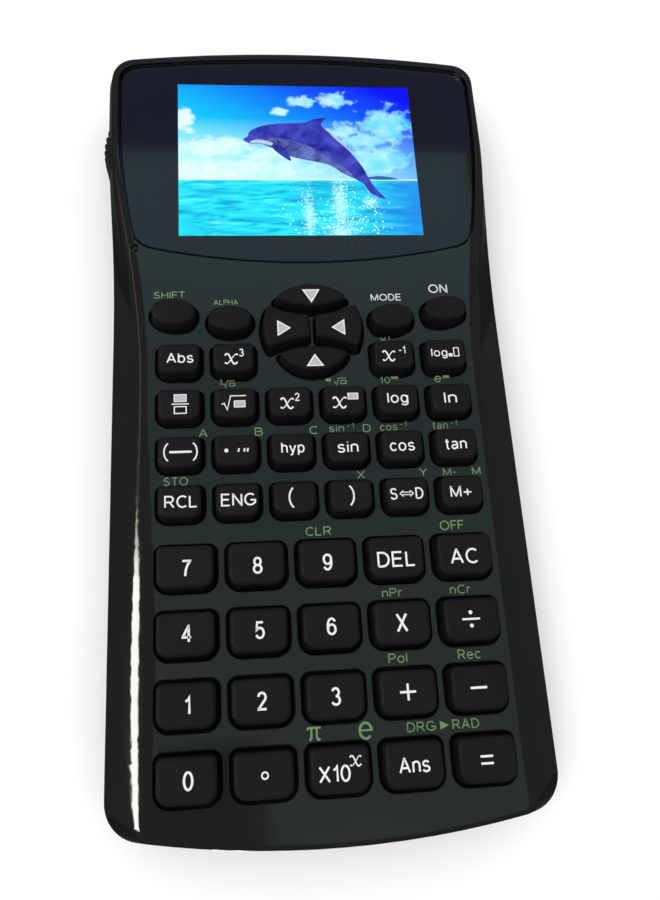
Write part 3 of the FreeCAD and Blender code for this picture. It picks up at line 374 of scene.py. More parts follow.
def letter(mark):
    """Pen strokes of one plain sans letter; capitals are one unit high."""
    if mark == "9":
        return [[(0.5 - px, 1.0 - py) for px, py in line] for line in letter("6")]
    if mark == "s":
        return [[(px * 0.78, py * 0.73) for px, py in line] for line in letter("S")]
    if mark == "R":
        return letter("P") + [[(0.32, 0.47), (0.6, 0.0)]]
    return {
        "0": [oval(0.25, 0.5, 0.25, 0.5)],
        "1": [[(0.0, 0.74), (0.14, 0.84), (0.23, 1.0), (0.23, 0.0)]],
        "2": [arc(0.25, 0.73, 0.23, 0.27, 172, -38) + [(0.02, 0.02), (0.02, 0.0), (0.52, 0.0)]],
        "3": [arc(0.24, 0.755, 0.21, 0.245, 160, -90), arc(0.24, 0.26, 0.25, 0.26, 90, -158)],
        "4": [[(0.38, 0.0), (0.38, 1.0), (0.36, 1.0), (0.0, 0.31), (0.0, 0.29), (0.53, 0.29)]],
        "5": [[(0.47, 1.0), (0.1, 1.0), (0.03, 0.5)] + arc(0.25, 0.325, 0.25, 0.325, 142, -158)],
        "6": [oval(0.26, 0.31, 0.25, 0.31), arc(0.28, 0.5, 0.27, 0.5, 38, 205)],
        "7": [[(0.0, 1.0), (0.5, 1.0), (0.5, 0.98), (0.34, 0.74), (0.22, 0.42), (0.17, 0.0)]],
        "8": [oval(0.25, 0.755, 0.21, 0.245), oval(0.25, 0.26, 0.25, 0.26)],
        "A": [[(0.0, 0.0), (0.33, 1.0), (0.35, 1.0), (0.68, 0.0)], [(0.11, 0.32), (0.57, 0.32)]],
        "B": [[(0.0, 0.53), (0.0, 1.0)] + arc(0.32, 0.765, 0.19, 0.235, 90, -90) + [(0.0, 0.53)],
              [(0.0, 0.53)] + arc(0.33, 0.265, 0.23, 0.265, 90, -90) + [(0.0, 0.0), (0.0, 0.53)]],
        "C": [arc(0.37, 0.5, 0.37, 0.5, 48, 312, 20)],
        "D": [[(0.0, 0.0), (0.0, 1.0)] + arc(0.24, 0.5, 0.38, 0.5, 90, -90) + [(0.0, 0.0)]],
        "E": [[(0.54, 1.0), (0.0, 1.0), (0.0, 0.0), (0.56, 0.0)], [(0.0, 0.53), (0.5, 0.53)]],
        "F": [[(0.52, 1.0), (0.0, 1.0), (0.0, 0.0)], [(0.0, 0.52), (0.45, 0.52)]],
        "G": [arc(0.38, 0.5, 0.38, 0.5, 48, 318, 20) + [(0.74, 0.2), (0.74, 0.44), (0.4, 0.44)]],
        "H": [[(0.0, 0.0), (0.0, 1.0)], [(0.61, 0.0), (0.61, 1.0)], [(0.0, 0.53), (0.61, 0.53)]],
        "I": [[(0.0, 0.0), (0.0, 1.0)]],
        "L": [[(0.0, 1.0), (0.0, 0.0), (0.48, 0.0)]],
        "M": [[(0.0, 0.0), (0.0, 1.0), (0.02, 1.0), (0.37, 0.05), (0.39, 0.05), (0.74, 1.0),
               (0.76, 1.0), (0.76, 0.0)]],
        "N": [[(0.0, 0.0), (0.0, 1.0), (0.02, 1.0), (0.59, 0.0), (0.61, 0.0), (0.61, 1.0)]],
        "O": [oval(0.4, 0.5, 0.4, 0.5)],
        "P": [[(0.0, 0.0), (0.0, 1.0)] + arc(0.32, 0.735, 0.24, 0.265, 90, -90) + [(0.0, 0.47)]],
        "S": [arc(0.29, 0.755, 0.25, 0.245, 22, 258) + arc(0.29, 0.26, 0.28, 0.26, 78, -162)],
        "T": [[(0.0, 1.0), (0.64, 1.0)], [(0.32, 1.0), (0.32, 0.0)]],
        "X": [[(0.0, 1.0), (0.6, 0.0)], [(0.6, 1.0), (0.0, 0.0)]],
        "Y": [[(0.0, 1.0), (0.31, 0.43), (0.62, 1.0)], [(0.31, 0.43), (0.31, 0.0)]],
        "a": [arc(0.23, 0.54, 0.2, 0.19, 158, 0) + [(0.43, 0.08), (0.47, 0.0)],
              [(0.43, 0.42), (0.2, 0.38)] + arc(0.19, 0.19, 0.19, 0.19, 100, 290) + [(0.43, 0.2)]],
        "b": [[(0.0, 1.0), (0.0, 0.0)], oval(0.24, 0.365, 0.24, 0.365)],
        "c": [arc(0.25, 0.365, 0.25, 0.365, 42, 318, 18)],
        "e": [[(0.02, 0.38)] + arc(0.26, 0.365, 0.26, 0.365, 4, 322, 20)],
        "g": [oval(0.24, 0.365, 0.24, 0.365), [(0.48, 0.73)] + arc(0.24, -0.08, 0.24, 0.2, 0, -158)],
        "h": [[(0.0, 1.0), (0.0, 0.0)], arc(0.22, 0.5, 0.22, 0.23, 180, 0) + [(0.44, 0.0)]],
        "i": [[(0.0, 0.73), (0.0, 0.0)], [(0.0, 1.0), (0.0, 0.93)]],
        "l": [[(0.0, 1.0), (0.0, 0.0)]],
        "n": [[(0.0, 0.73), (0.0, 0.0)], arc(0.22, 0.5, 0.22, 0.23, 180, 0) + [(0.44, 0.0)]],
        "o": [oval(0.26, 0.365, 0.26, 0.365)],
        "p": [[(0.0, 0.73), (0.0, -0.27)], oval(0.24, 0.365, 0.24, 0.365)],
        "r": [[(0.0, 0.73), (0.0, 0.0)], arc(0.2, 0.5, 0.2, 0.22, 180, 66)],
        "t": [[(0.13, 0.96)] + arc(0.25, 0.13, 0.12, 0.13, 180, 285), [(0.0, 0.72), (0.28, 0.72)]],
        "x": [[(0.0, 0.73), (0.44, 0.0)], [(0.44, 0.73), (0.0, 0.0)]],
        "y": [[(0.0, 0.73), (0.25, 0.02)], [(0.5, 0.73), (0.2, -0.2), (0.05, -0.27)]],
        "!": [[(0.0, 1.0), (0.0, 0.3)], [(0.0, 0.05), (0.0, -0.04)]],
        "-": [[(0.0, 0.4), (0.34, 0.4)]],
        "+": [[(0.0, 0.42), (0.64, 0.42)], [(0.32, 0.1), (0.32, 0.74)]],
    }[mark]


def add_text(bm, words, x, y, height, z, width=None, weight=0.128):
    """Lettering centred on x, y. height is that of the capital letters, in millimetres."""
    line = weight * height
    lines, pen = [], 0.0
    for mark in words:
        strokes = letter(mark)
        left = min(px for stroke in strokes for px, _ in stroke)
        lines += [[(px - left + pen, py) for px, py in stroke] for stroke in strokes]
        wide = max(px for stroke in lines for px, _ in stroke)
        pen = wide + weight + (0.03 if mark == "F" else 0.125)
    tall = height - line
    along = (width - line) / wide if width else tall
    for stroke in lines:
        add_stroke(bm, [(x + (px - wide / 2) * along, y - tall / 2 + py * tall) for px, py in stroke],
                   line, z)


GRID_PULL = 0.011                            # the legends stand on a slightly tighter grid than the keys
TOP_ROW_DROP = 0.42                          # the row of 7 prints low on its keys, millimetres
SMALL_KEY_DROP = 0.11                        # and the function keys do so a little
WIDE_KEY = 10.5                              # number keys are wider than this, function keys narrower


def key_middle(node):
    low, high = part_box(node)
    return (low.x + high.x) / 2 / MM, (low.y + high.y) / 2 / MM


def legend_spot(node):
    """Where the legend of a key goes, near the middle of its key."""
    x, y = key_middle(node)
    low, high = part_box(node)
    drop = 0.0
    if (high.x - low.x) / MM < WIDE_KEY:
        drop = SMALL_KEY_DROP
    elif abs(y - key_middle("key_7")[1]) < 1.0:
        drop = TOP_ROW_DROP
    return x * (1.0 - GRID_PULL), y - drop


def add_letter_x(bm, x, y, size, z):
    """A slanted mathematical x made of one heavy and one fine stroke."""
    h = size / 2
    heavy = [(-1.00, 0.62), (-0.80, 0.92), (-0.52, 0.90), (-0.30, 0.55), (0.10, -0.55), (0.34, -0.92),
             (0.62, -0.94), (0.92, -0.60)]
    fine = [(0.98, 0.78), (0.74, 0.90), (0.46, 0.66), (-0.42, -0.66), (-0.72, -0.90), (-0.98, -0.80)]
    add_stroke(bm, [(x + 1.08 * a * h, y + b * h) for a, b in heavy], 0.27 * h, z)
    add_stroke(bm, [(x + 1.08 * a * h, y + b * h) for a, b in fine], 0.17 * h, z)
    for side in (-1, 1):
        add_shape(bm, ring_points(x + side * 0.98 * h, y + side * 0.76 * h, 0.17 * h, 12), z)


def add_root(bm, x, y, size, z, line):
    """A root sign whose bar runs right from its top."""
    add_stroke(bm, [(x - 0.62 * size, y - 0.10 * size), (x - 0.46 * size, y - 0.02 * size),
                    (x - 0.26 * size, y - 0.5 * size), (x - 0.02 * size, y + 0.5 * size),
                    (x + 1.02 * size, y + 0.5 * size)], line, z)


def add_pi(bm, x, y, z):
    add_stroke(bm, [(x - 1.15, y + 0.62), (x - 0.85, y + 0.92), (x + 1.15, y + 0.92)], 0.34, z)
    add_stroke(bm, [(x - 0.42, y + 0.9), (x - 0.46, y - 0.7), (x - 0.75, y - 1.02)], 0.36, z)
    add_stroke(bm, [(x + 0.46, y + 0.9), (x + 0.46, y - 0.75), (x + 0.72, y - 1.0),
                    (x + 1.0, y - 0.8)], 0.36, z)


def add_letter_e(bm, x, y, z):
    add_stroke(bm, arc(x, y, 1.0, 1.25, 0, 318, 22), 0.4, z)
    add_stroke(bm, [(x - 0.95, y + 0.06), (x + 1.17, y + 0.06)], 0.3, z)


# Word on the key, height of its capitals and width, in millimetres; None leaves the natural width.
WORD_KEYS = {
    "key_delete": ("DEL", 2.75, 6.7), "key_clear": ("AC", 2.75, 4.9), "key_answer": ("Ans", 2.45, 5.1),
    "key_abs": ("Abs", 2.05, 4.9), "key_hyp": ("hyp", 2.1, 4.2), "key_sin": ("sin", 2.2, 3.8),
    "key_cos": ("cos", 2.2, 4.6), "key_tan": ("tan", 2.2, 4.1), "key_log": ("log", 2.15, 3.9),
    "key_ln": ("ln", 2.3, 2.4), "key_recall": ("RCL", 2.25, 5.7), "key_eng": ("ENG", 2.3, 6.1),
    "key_memory": ("M+", 2.1, 4.0),
}
WORD_KEYS.update({f"key_{digit}": (str(digit), 2.95, None) for digit in range(10)})
TAIL_RISE = {"key_hyp": 0.2, "key_log": 0.25}    # words with a tail below the line sit higher
# Corners of the arrows on the cursor keys, millimetres.
TRIANGLES = {
    "key_up": ((-1.7, 19.45), (1.7, 19.45), (0, 16.6)),
    "key_down": ((-1.65, 3.4), (1.65, 3.4), (0, 5.9)),
    "key_left": ((-6.75, 9.65), (-6.75, 13.0), (-4.2, 11.35)),
    "key_right": ((6.05, 9.68), (6.05, 13.03), (3.5, 11.35)),
}


def shrink(points, share):
    """The outline drawn in towards its middle."""
    x = sum(p[0] for p in points) / len(points)
    y = sum(p[1] for p in points) / len(points)
    return [(x + (px - x) * share, y + (py - y) * share) for px, py in points]


def draw_word(node, bm, _fill, x, y, z):
    label, height, width = WORD_KEYS[node]
    add_text(bm, label, x, y + TAIL_RISE.get(node, 0.0), height, z, width)


def draw_sign(node, bm, _fill, x, y, z):
    """The signs of arithmetic and the point."""
    if node == "key_multiply":
        add_stroke(bm, [(x - 0.8, y + 1.45), (x + 0.8, y - 1.45)], 0.4, z)
        add_stroke(bm, [(x + 0.8, y + 1.45), (x - 0.8, y - 1.45)], 0.4, z)
    elif node == "key_divide":
        add_stroke(bm, [(x - 1.55, y), (x + 1.55, y)], 0.34, z)
        for side in (-1, 1):
            add_shape(bm, ring_points(x, y + side * 1.12, 0.34), z)
    elif node == "key_plus":
        add_stroke(bm, [(x - 1.35, y), (x + 1.35, y)], 0.38, z)
        add_stroke(bm, [(x, y - 1.35), (x, y + 1.35)], 0.38, z)
    elif node == "key_minus":
        add_stroke(bm, [(x - 1.4, y), (x + 1.4, y)], 0.4, z)
    elif node == "key_equals":
        for side in (-1, 1):
            add_stroke(bm, [(x - 1.05, y + side * 0.55), (x + 1.05, y + side * 0.55)], 0.36, z)
    else:
        add_stroke(bm, arc(x, y, 0.5, 0.5, 0, 360, 20), 0.26, z)


# The power beside the x and how far the x stands left of the middle.
POWERS = {"key_cube": ("3", 0.55), "key_square": ("2", 0.6), "key_reciprocal": ("-1", 0.9)}


def draw_power(node, bm, fill, x, y, z):
    """The keys that show a mathematical x."""
    if node == "key_exponent":
        add_text(bm, "X10", x - 0.95, y - 0.49, 2.6, z, 5.1)
        add_letter_x(bm, x + 2.55, y + 1.27, 1.7, z)
    elif node == "key_power":
        add_letter_x(bm, x - 0.9, y - 0.45, 2.3, z)
        add_frame(bm, x + 1.6, y + 0.75, 2.0, 1.3, 0.16, z)
        add_shape(fill, box_points(x + 1.6, y + 0.75, 1.7, 1.0), z)
    else:
        power, left = POWERS[node]
        add_letter_x(bm, x - left, y - 0.35, 2.2, z)
        add_text(bm, power, x + 1.3 + 0.35 * (len(power) - 1), y + 0.85, 1.6, z)


def draw_boxes(node, bm, fill, x, y, z):
    """The keys that show empty boxes to fill in."""
    if node == "key_root":
        add_root(bm, x - 0.85, y, 2.7, z, 0.2)
        add_frame(bm, x + 0.7, y - 0.25, 2.1, 1.35, 0.16, z)
        add_shape(fill, box_points(x + 0.7, y - 0.25, 1.8, 1.05), z)
    elif node == "key_fraction":
        add_frame(bm, x, y + 1.15, 2.3, 1.5, 0.16, z)
        add_shape(fill, box_points(x, y + 1.15, 2.0, 1.2), z)
        add_stroke(bm, [(x - 1.55, y), (x + 1.55, y)], 0.2, z)
        add_frame(bm, x, y - 1.15, 2.3, 1.5, 0.2, z)
    else:
        add_text(bm, "log", x - 1.15, y + 0.15, 1.7, z, 3.1)
        add_shape(bm, box_points(x + 1.0, y - 0.4, 0.75, 0.65), z)
        add_frame(bm, x + 2.15, y + 0.2, 1.1, 1.9, 0.18, z)


def draw_marks(node, bm, _fill, x, y, z):
    """Brackets, degree marks and the exchange arrow."""
    if node == "key_negate":
        add_stroke(bm, [(x - 1.95, y), (x + 1.95, y)], 0.4, z)
        for side, start in ((-1, 118), (1, -62)):
            add_stroke(bm, arc(x + side * 1.55, y, 1.35, 1.85, start, start + 124), 0.26, z)
    elif node == "key_degrees":
        add_shape(bm, ring_points(x - 1.9, y, 0.36), z)
        for dx in (0.35, 1.35, 1.95):
            add_stroke(bm, [(x + dx, y + 0.34), (x + dx - 0.12, y - 0.3)], 0.3, z)
    elif node == "key_exchange":
        add_text(bm, "S", x - 2.35, y, 2.15, z)
        add_text(bm, "D", x + 2.3, y, 2.15, z)
        for side in (-1, 1):
            add_stroke(bm, [(x - 0.75, y + side * 0.22), (x + 0.75, y + side * 0.22)], 0.16, z)
            add_stroke(bm, [(x + side * 0.6, y + 0.55), (x + side * 1.2, y),
                            (x + side * 0.6, y - 0.55)], 0.18, z)
    else:
        side, start = (-1, 122) if node == "key_paren_open" else (1, -58)
        add_stroke(bm, arc(x - side * 0.75 - 0.3, y, 1.5, 2.1, start, start + 116), 0.3, z)


def draw_triangle(node, bm, fill, _x, _y, z):
    add_shape(bm, TRIANGLES[node], z)
    add_shape(fill, shrink(TRIANGLES[node], 0.74), z + INK)


CAP_DRAWINGS = (
    (draw_word, WORD_KEYS),
    (draw_sign, ("key_multiply", "key_divide", "key_plus", "key_minus", "key_equals", "key_point")),
    (draw_power, ("key_exponent", "key_power", *POWERS)),
    (draw_boxes, ("key_root", "key_fraction", "key_log_base")),
    (draw_marks, ("key_negate", "key_degrees", "key_exchange", "key_paren_open", "key_paren_close")),
    (draw_triangle, TRIANGLES),
)


def draw_cap(node, bm, fill, x, y, z):
    """The legend of one key: bright lines in bm, grey filling in fill. The oval keys carry none."""
    for draw, names in CAP_DRAWINGS:
        if node in names:
            draw(node, bm, fill, x, y, z)


for node_name in sorted(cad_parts):
    if not node_name.startswith("key_"):
        continue
    lines, filling = bmesh.new(), bmesh.new()
    draw_cap(node_name, lines, filling, *legend_spot(node_name), CAP_Z)
    for shape, mat, tail in ((lines, WHITE, ""), (filling, GREY, "_fill")):
        if shape.verts:
            piece_from(shape, "legend_" + node_name + tail, mat, node_name)
        else:
            shape.free()


# Words printed on the face: the word, its middle, the height of its capitals and its width.
FACE_WORDS = {
    "white": (("MODE", 15.1, 19.2, 1.5, 6.1), ("ON", 25.7, 21.0, 1.95, 3.8)),
    "green": (
        ("SHIFT", -27.0, 20.2, 1.5, 6.0), ("ALPHA", -16.3, 18.5, 1.15, 4.7),
        ("x!", 14.1, 10.15, 1.3, 1.9), ("10", 13.4, 1.5, 1.4, 2.0), ("e", 23.7, 1.7, 1.8, 1.4),
        ("A", -21.0, -8.2, 1.6, 1.6), ("B", -10.9, -8.2, 1.6, 1.5), ("C", -0.8, -8.2, 1.6, 1.5),
        ("D", 9.2, -8.1, 1.6, 1.5), ("sin", 3.5, -7.95, 1.5, 2.8), ("cos", 13.3, -7.95, 1.5, 3.3),
        ("tan", 23.1, -7.95, 1.5, 3.0), ("-1", 6.1, -7.5, 1.0, 1.3), ("-1", 16.1, -7.5, 1.0, 1.3),
        ("-1", 25.8, -7.5, 1.0, 1.3), ("STO", -26.0, -17.2, 1.6, 4.3), ("X", 7.4, -17.1, 1.6, 1.5),
        ("Y", 19.0, -17.0, 1.6, 1.5), ("M-", 24.0, -17.1, 1.5, 2.6), ("M", 29.0, -17.1, 1.5, 1.6),
        ("CLR", -1.0, -27.3, 1.65, 4.6), ("OFF", 23.3, -27.2, 1.8, 4.5), ("nPr", 11.3, -38.8, 1.6, 3.6),
        ("nCr", 23.5, -38.8, 1.6, 3.8), ("Pol", 11.3, -50.0, 1.7, 3.3), ("Rec", 23.8, -50.0, 1.7, 4.0),
        ("DRG", 14.3, -61.3, 1.6, 4.9), ("RAD", 21.9, -61.3, 1.6, 4.6),
    ),
}
for tone, mat in (("white", WHITE), ("green", GREEN)):
    words_mesh = bmesh.new()
    for words, x, y, height, width in FACE_WORDS[tone]:
        add_text(words_mesh, words, x, y, height, FACE_Z, width)
    if tone == "green":
        add_shape(words_mesh, [(17.5, -60.6), (17.5, -62.0), (19.0, -61.3)], FACE_Z)
        add_pi(words_mesh, -3.7, -61.3, FACE_Z)
        add_letter_e(words_mesh, 4.9, -61.35, FACE_Z)
        add_root(words_mesh, -16.4, 1.4, 1.3, FACE_Z, 0.16)
        add_text(words_mesh, "3", -17.6, 1.8, 1.0, FACE_Z)
        add_frame(words_mesh, -15.5, 1.3, 1.1, 0.8, 0.18, FACE_Z)
        add_shape(words_mesh, box_points(2.6, 1.8, 1.0, 0.6), FACE_Z)
        add_root(words_mesh, 4.5, 1.4, 1.4, FACE_Z, 0.16)
        add_frame(words_mesh, 5.4, 1.3, 1.2, 0.8, 0.18, FACE_Z)
        add_shape(words_mesh, box_points(15.3, 1.95, 1.4, 0.55), FACE_Z)
        add_shape(words_mesh, box_points(25.3, 1.95, 1.3, 0.55), FACE_Z)
    piece_from(words_mesh, "face_words_" + tone, mat, "case")


# ------------------------------------------------------------------ screen
SCREEN = (-0.5, 52.75, 49.8, 37.2)           # middle and size of the part of the picture in view
WINDOW = (-0.5, 52.28, 49.5, 37.1)           # clear window in the print under the lens
PICTURE_MARGIN = 1.6                         # how much of the picture the print covers, both sides added
PRINT_SHARE = 0.992                          # the print stops just inside the lens's own outline
PRINT_GAP = 0.04 * MM                        # and lies this far inside its underside
PICTURE_THICK = 0.03 * MM
LAYER_STEP = 0.02 * MM                       # between the layers laid on the picture
SPRAY_LAYER = 0.75
HORIZON = 0.365                              # height of the sea's edge, as a share of the picture
LENS_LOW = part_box("display_lens")[0].z
GLASS_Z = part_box("lcd_module")[1].z


def layer_z(level):
    """Height of one layer of the picture."""
    return GLASS_Z + PICTURE_THICK + LAYER_STEP * level


def underside_outline(node):
    """The outline of the flat underside of a node, in order, as row-frame points."""
    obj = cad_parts[node]
    mesh, place = obj.data, obj.matrix_world
    spots = [place @ v.co for v in mesh.vertices]
    low = min(p.z for p in spots)
    uses = {}                                # how many faces of the underside share each edge
    for polygon in mesh.polygons:
        if max(spots[i].z for i in polygon.vertices) < low + 0.02 * MM:
            ring = list(polygon.vertices)
            for a, b in zip(ring, ring[1:] + ring[:1]):
                pair = tuple(sorted(((round(spots[a].x, 7), round(spots[a].y, 7)),
                                     (round(spots[b].x, 7), round(spots[b].y, 7)))))
                uses[pair] = uses.get(pair, 0) + 1
    beside = {}                              # an edge used once is on the outline
    for (a, b), count in uses.items():
        if count == 1:
            beside.setdefault(a, []).append(b)
            beside.setdefault(b, []).append(a)
    start = here = min(beside)
    last, outline = None, []
    while True:
        outline.append(here)
        ways = [p for p in beside[here] if p != last]
        last, here = here, ways[0]
        if here == start or len(outline) > len(beside):
            return outline


def print_under_lens():
    """The black print on the back of the lens: the lens outline with its window left clear."""
    bm = bmesh.new()
    lens = [Vector(p) for p in underside_outline("display_lens")]
    mid = sum(lens, Vector((0, 0))) / len(lens)
    rim = [mid + (p - mid) * PRINT_SHARE for p in lens]
    hole = [Vector(p) * MM for p in box_points(*WINDOW)]
    edges = []
    for points in (rim, hole):
        ring = [bm.verts.new((p.x, p.y, LENS_LOW + PRINT_GAP)) for p in points]
        edges += [bm.edges.new((a, b)) for a, b in zip(ring, ring[1:] + ring[:1])]
    bmesh.ops.triangle_fill(bm, edges=edges, use_beauty=True)
    for face in bm.faces:
        face.normal_update()
        if face.normal.z < 0:
            face.normal_flip()
    return bm


def screen_material():
    """A lit seascape made only of gradients and noise."""
    mat, nodes, shader, where = material("screen_picture")
    x0, y0, w, h = SCREEN
    split = nodes.add("ShaderNodeSeparateXYZ")
    nodes.link(where, split.inputs[0])
    u = nodes.math("DIVIDE", nodes.math("SUBTRACT", split.outputs[0], (x0 - w / 2) * MM), w * MM)
    v = nodes.math("DIVIDE", nodes.math("SUBTRACT", split.outputs[1], (y0 - h / 2) * MM), h * MM)
    flat = nodes.add("ShaderNodeCombineXYZ")
    nodes.feed(flat, X=u, Y=v)
    spot = flat.outputs[0]
    depth = nodes.math("ADD", nodes.math("MULTIPLY", u, 0.62), nodes.math(
        "MULTIPLY", nodes.math("SUBTRACT", v, 0.55), 0.95))
    sky = nodes.ramp(depth, ((0.0, (0.04, 0.82, 0.99)), (0.30, (0.005, 0.54, 0.98)),
                             (0.52, (0.003, 0.28, 0.95)), (0.74, (0.002, 0.08, 0.92)),
                             (0.95, (0.001, 0.002, 0.90))))
    haze = nodes.ramp(v, ((0.37, (1, 1, 1)), (0.52, (0.55, 0.55, 0.55)), (0.78, (0, 0, 0))))
    sky = nodes.mix(nodes.math("MULTIPLY", haze, nodes.math("SUBTRACT", 1.25, u), True), sky,
                    (0.70, 0.97, 1.0))

    def puff(u0, v0, ru, rv):
        """How far a spot lies inside one cloud."""
        du = nodes.math("MULTIPLY", nodes.math("SUBTRACT", u, u0), 1.0 / ru)
        dv = nodes.math("MULTIPLY", nodes.math("SUBTRACT", v, v0), 1.0 / rv)
        square = nodes.math("ADD", nodes.math("MULTIPLY", du, du), nodes.math("MULTIPLY", dv, dv))
        return nodes.math("SUBTRACT", 1.0, nodes.math("SQRT", square))

    banks = puff(0.16, 0.585, 0.20, 0.075)
    for cloud in ((0.02, 0.76, 0.07, 0.10), (0.40, 0.53, 0.16, 0.06), (0.30, 0.44, 0.40, 0.07),
                  (0.89, 0.74, 0.15, 0.15), (0.80, 0.64, 0.13, 0.07), (0.70, 0.70, 0.08, 0.07),
                  (0.84, 0.50, 0.17, 0.12), (0.52, 0.90, 0.07, 0.05), (0.67, 0.91, 0.09, 0.06),
                  (0.43, 0.83, 0.05, 0.035)):
        banks = nodes.math("MAXIMUM", banks, puff(*cloud))
    fluff = nodes.noise(spot, 17.0, 7.0, 0.62, 0.15)
    cover = nodes.math("ADD", banks, nodes.math("MULTIPLY", nodes.math("SUBTRACT", fluff, 0.53), 2.3))
    cover = nodes.ramp(cover, ((0.0, (0, 0, 0)), (0.22, (0.62, 0.62, 0.62)), (0.5, (1, 1, 1))))
    bright = nodes.ramp(nodes.math("ADD", nodes.math("MULTIPLY", u, 0.5), nodes.math(
        "MULTIPLY", nodes.noise(spot, 14.0, 5.0), 0.8)), (
            (0.30, (0.92, 0.99, 1.0)), (0.62, (0.62, 0.96, 0.99)), (0.95, (0.16, 0.78, 0.98))))
    sky = nodes.mix(nodes.math("MULTIPLY", cover, 0.9), sky, bright)
    stretch = nodes.add("ShaderNodeMapping")
    stretch.inputs["Scale"].default_value = (5.0, 22.0, 1.0)
    nodes.link(spot, stretch.inputs[0])
    chop = nodes.noise(stretch.outputs[0], 1.6, 6.0, 0.62, 0.8)
    sea = nodes.ramp(chop, ((0.32, (0.004, 0.36, 0.66)), (0.46, (0.012, 0.68, 0.88)),
                            (0.60, (0.04, 0.88, 0.95)), (0.76, (0.40, 0.98, 0.99))))
    swell = nodes.ramp(nodes.noise(stretch.outputs[0], 0.45, 3.0), ((0.50, (0, 0, 0)), (0.64, (1, 1, 1))))
    sea = nodes.mix(nodes.math("MULTIPLY", swell, 0.45), sea, (0.002, 0.20, 0.55))
    sea = nodes.mix(nodes.ramp(u, ((0.70, (0, 0, 0)), (0.98, (0.75, 0.75, 0.75)))), sea, (0.01, 0.16, 0.80))
    picture = nodes.mix(nodes.above(v, HORIZON), sea, sky)
    shore = nodes.below(nodes.math("ABSOLUTE", nodes.math("SUBTRACT", v, HORIZON + 0.002)), 0.006)
    picture = nodes.mix(nodes.math("MULTIPLY", shore, 0.6), picture, (0.75, 0.96, 1.0))
    foam = puff(0.535, 0.12, 0.035, 0.24)
    for plume in ((0.665, 0.20, 0.045, 0.25), (0.66, 0.02, 0.09, 0.12), (0.795, 0.22, 0.045, 0.07)):
        foam = nodes.math("MAXIMUM", foam, puff(*plume))
    foam = nodes.math("ADD", foam, nodes.math("MULTIPLY", nodes.math(
        "SUBTRACT", nodes.noise(spot, 60.0, 5.0, 0.7), 0.55), 3.0))
    foam = nodes.ramp(foam, ((0.1, (0, 0, 0)), (0.7, (0.9, 0.9, 0.9))))
    picture = nodes.mix(foam, picture, (0.50, 0.97, 1.0))
    nodes.feed(shader, Base_Color=(0.002, 0.002, 0.002, 1), Roughness=0.25, Specular_IOR_Level=0.0)
    nodes.link(picture, shader.inputs["Emission Color"])
    shader.inputs["Emission Strength"].default_value = 1.15
    return mat


def lit(name, colour, streak, strength=1.0, size=260.0):
    """A lit patch of the picture with soft streaks."""
    mat, nodes, shader, where = material(name)
    tone = nodes.noise(where, size, 4.0, 0.6, 0.6)
    nodes.feed(shader, Base_Color=(0.002, 0.002, 0.002, 1), Roughness=0.3, Specular_IOR_Level=0.0)
    nodes.link(nodes.mix(nodes.ramp(tone, ((0.35, (0, 0, 0)), (0.65, (1, 1, 1)))), colour, streak),
               shader.inputs["Emission Color"])
    shader.inputs["Emission Strength"].default_value = strength
    return mat


piece_from(print_under_lens(), "lens_black_print", PRINT, "case")
picture_mesh = bmesh.new()
add_shape(picture_mesh, box_points(SCREEN[0], SCREEN[1], SCREEN[2] + PICTURE_MARGIN,
                                   SCREEN[3] + PICTURE_MARGIN), GLASS_Z, PICTURE_THICK)
piece_from(picture_mesh, "screen_scene", screen_material(), "case")


def spline(points, steps=8):
    """Closed smooth outline through points."""
    count = len(points)
    out = []
    for i in range(count):
        p0, p1, p2, p3 = (Vector(points[(i + k) % count]) for k in (-1, 0, 1, 2))
        for s in range(steps):
            t = s / steps
            out.append(0.5 * ((2 * p1) + (p2 - p0) * t + (2 * p0 - 5 * p1 + 4 * p2 - p3) * t * t
                              + (3 * p1 - p0 - 3 * p2 + p3) * t ** 3))
    return [tuple(p) for p in out]


def on_screen(points):
    """Turn shares of the picture's width and height into millimetres."""
    x, y, w, h = SCREEN
    return [(x - w / 2 + u * w, y - h / 2 + v * h) for u, v in points]


def picture_part(name, outlines, mat, level):
    """A part of the picture cut out as smooth flat shapes, laid on one layer."""
    bm = bmesh.new()
    for outline in outlines:
        add_shape(bm, spline(on_screen(outline)), layer_z(level))
    bmesh.ops.triangulate(bm, faces=bm.faces)
    piece_from(bm, name, mat, "case")


def spray(name, seed, count, mat):
    """Drops of water flung up under the leap: thick near three falling columns."""
    bm = bmesh.new()
    pick = random.Random(seed)
    for _ in range(count):
        column = pick.choice((0.52, 0.655, 0.665, 0.80, 0.72))
        rise = pick.random() ** 1.2
        u = column + pick.gauss(0.0, 0.012 + 0.045 * (1.0 - rise))
        v = 0.02 + 0.38 * rise
        if 0.02 < u < 0.98:
            (spot,) = on_screen(((u, v),))
            add_shape(bm, ring_points(*spot, pick.uniform(0.05, 0.19) * (1.3 - 0.5 * rise), 7),
                      layer_z(SPRAY_LAYER))
    piece_from(bm, name, mat, "case")


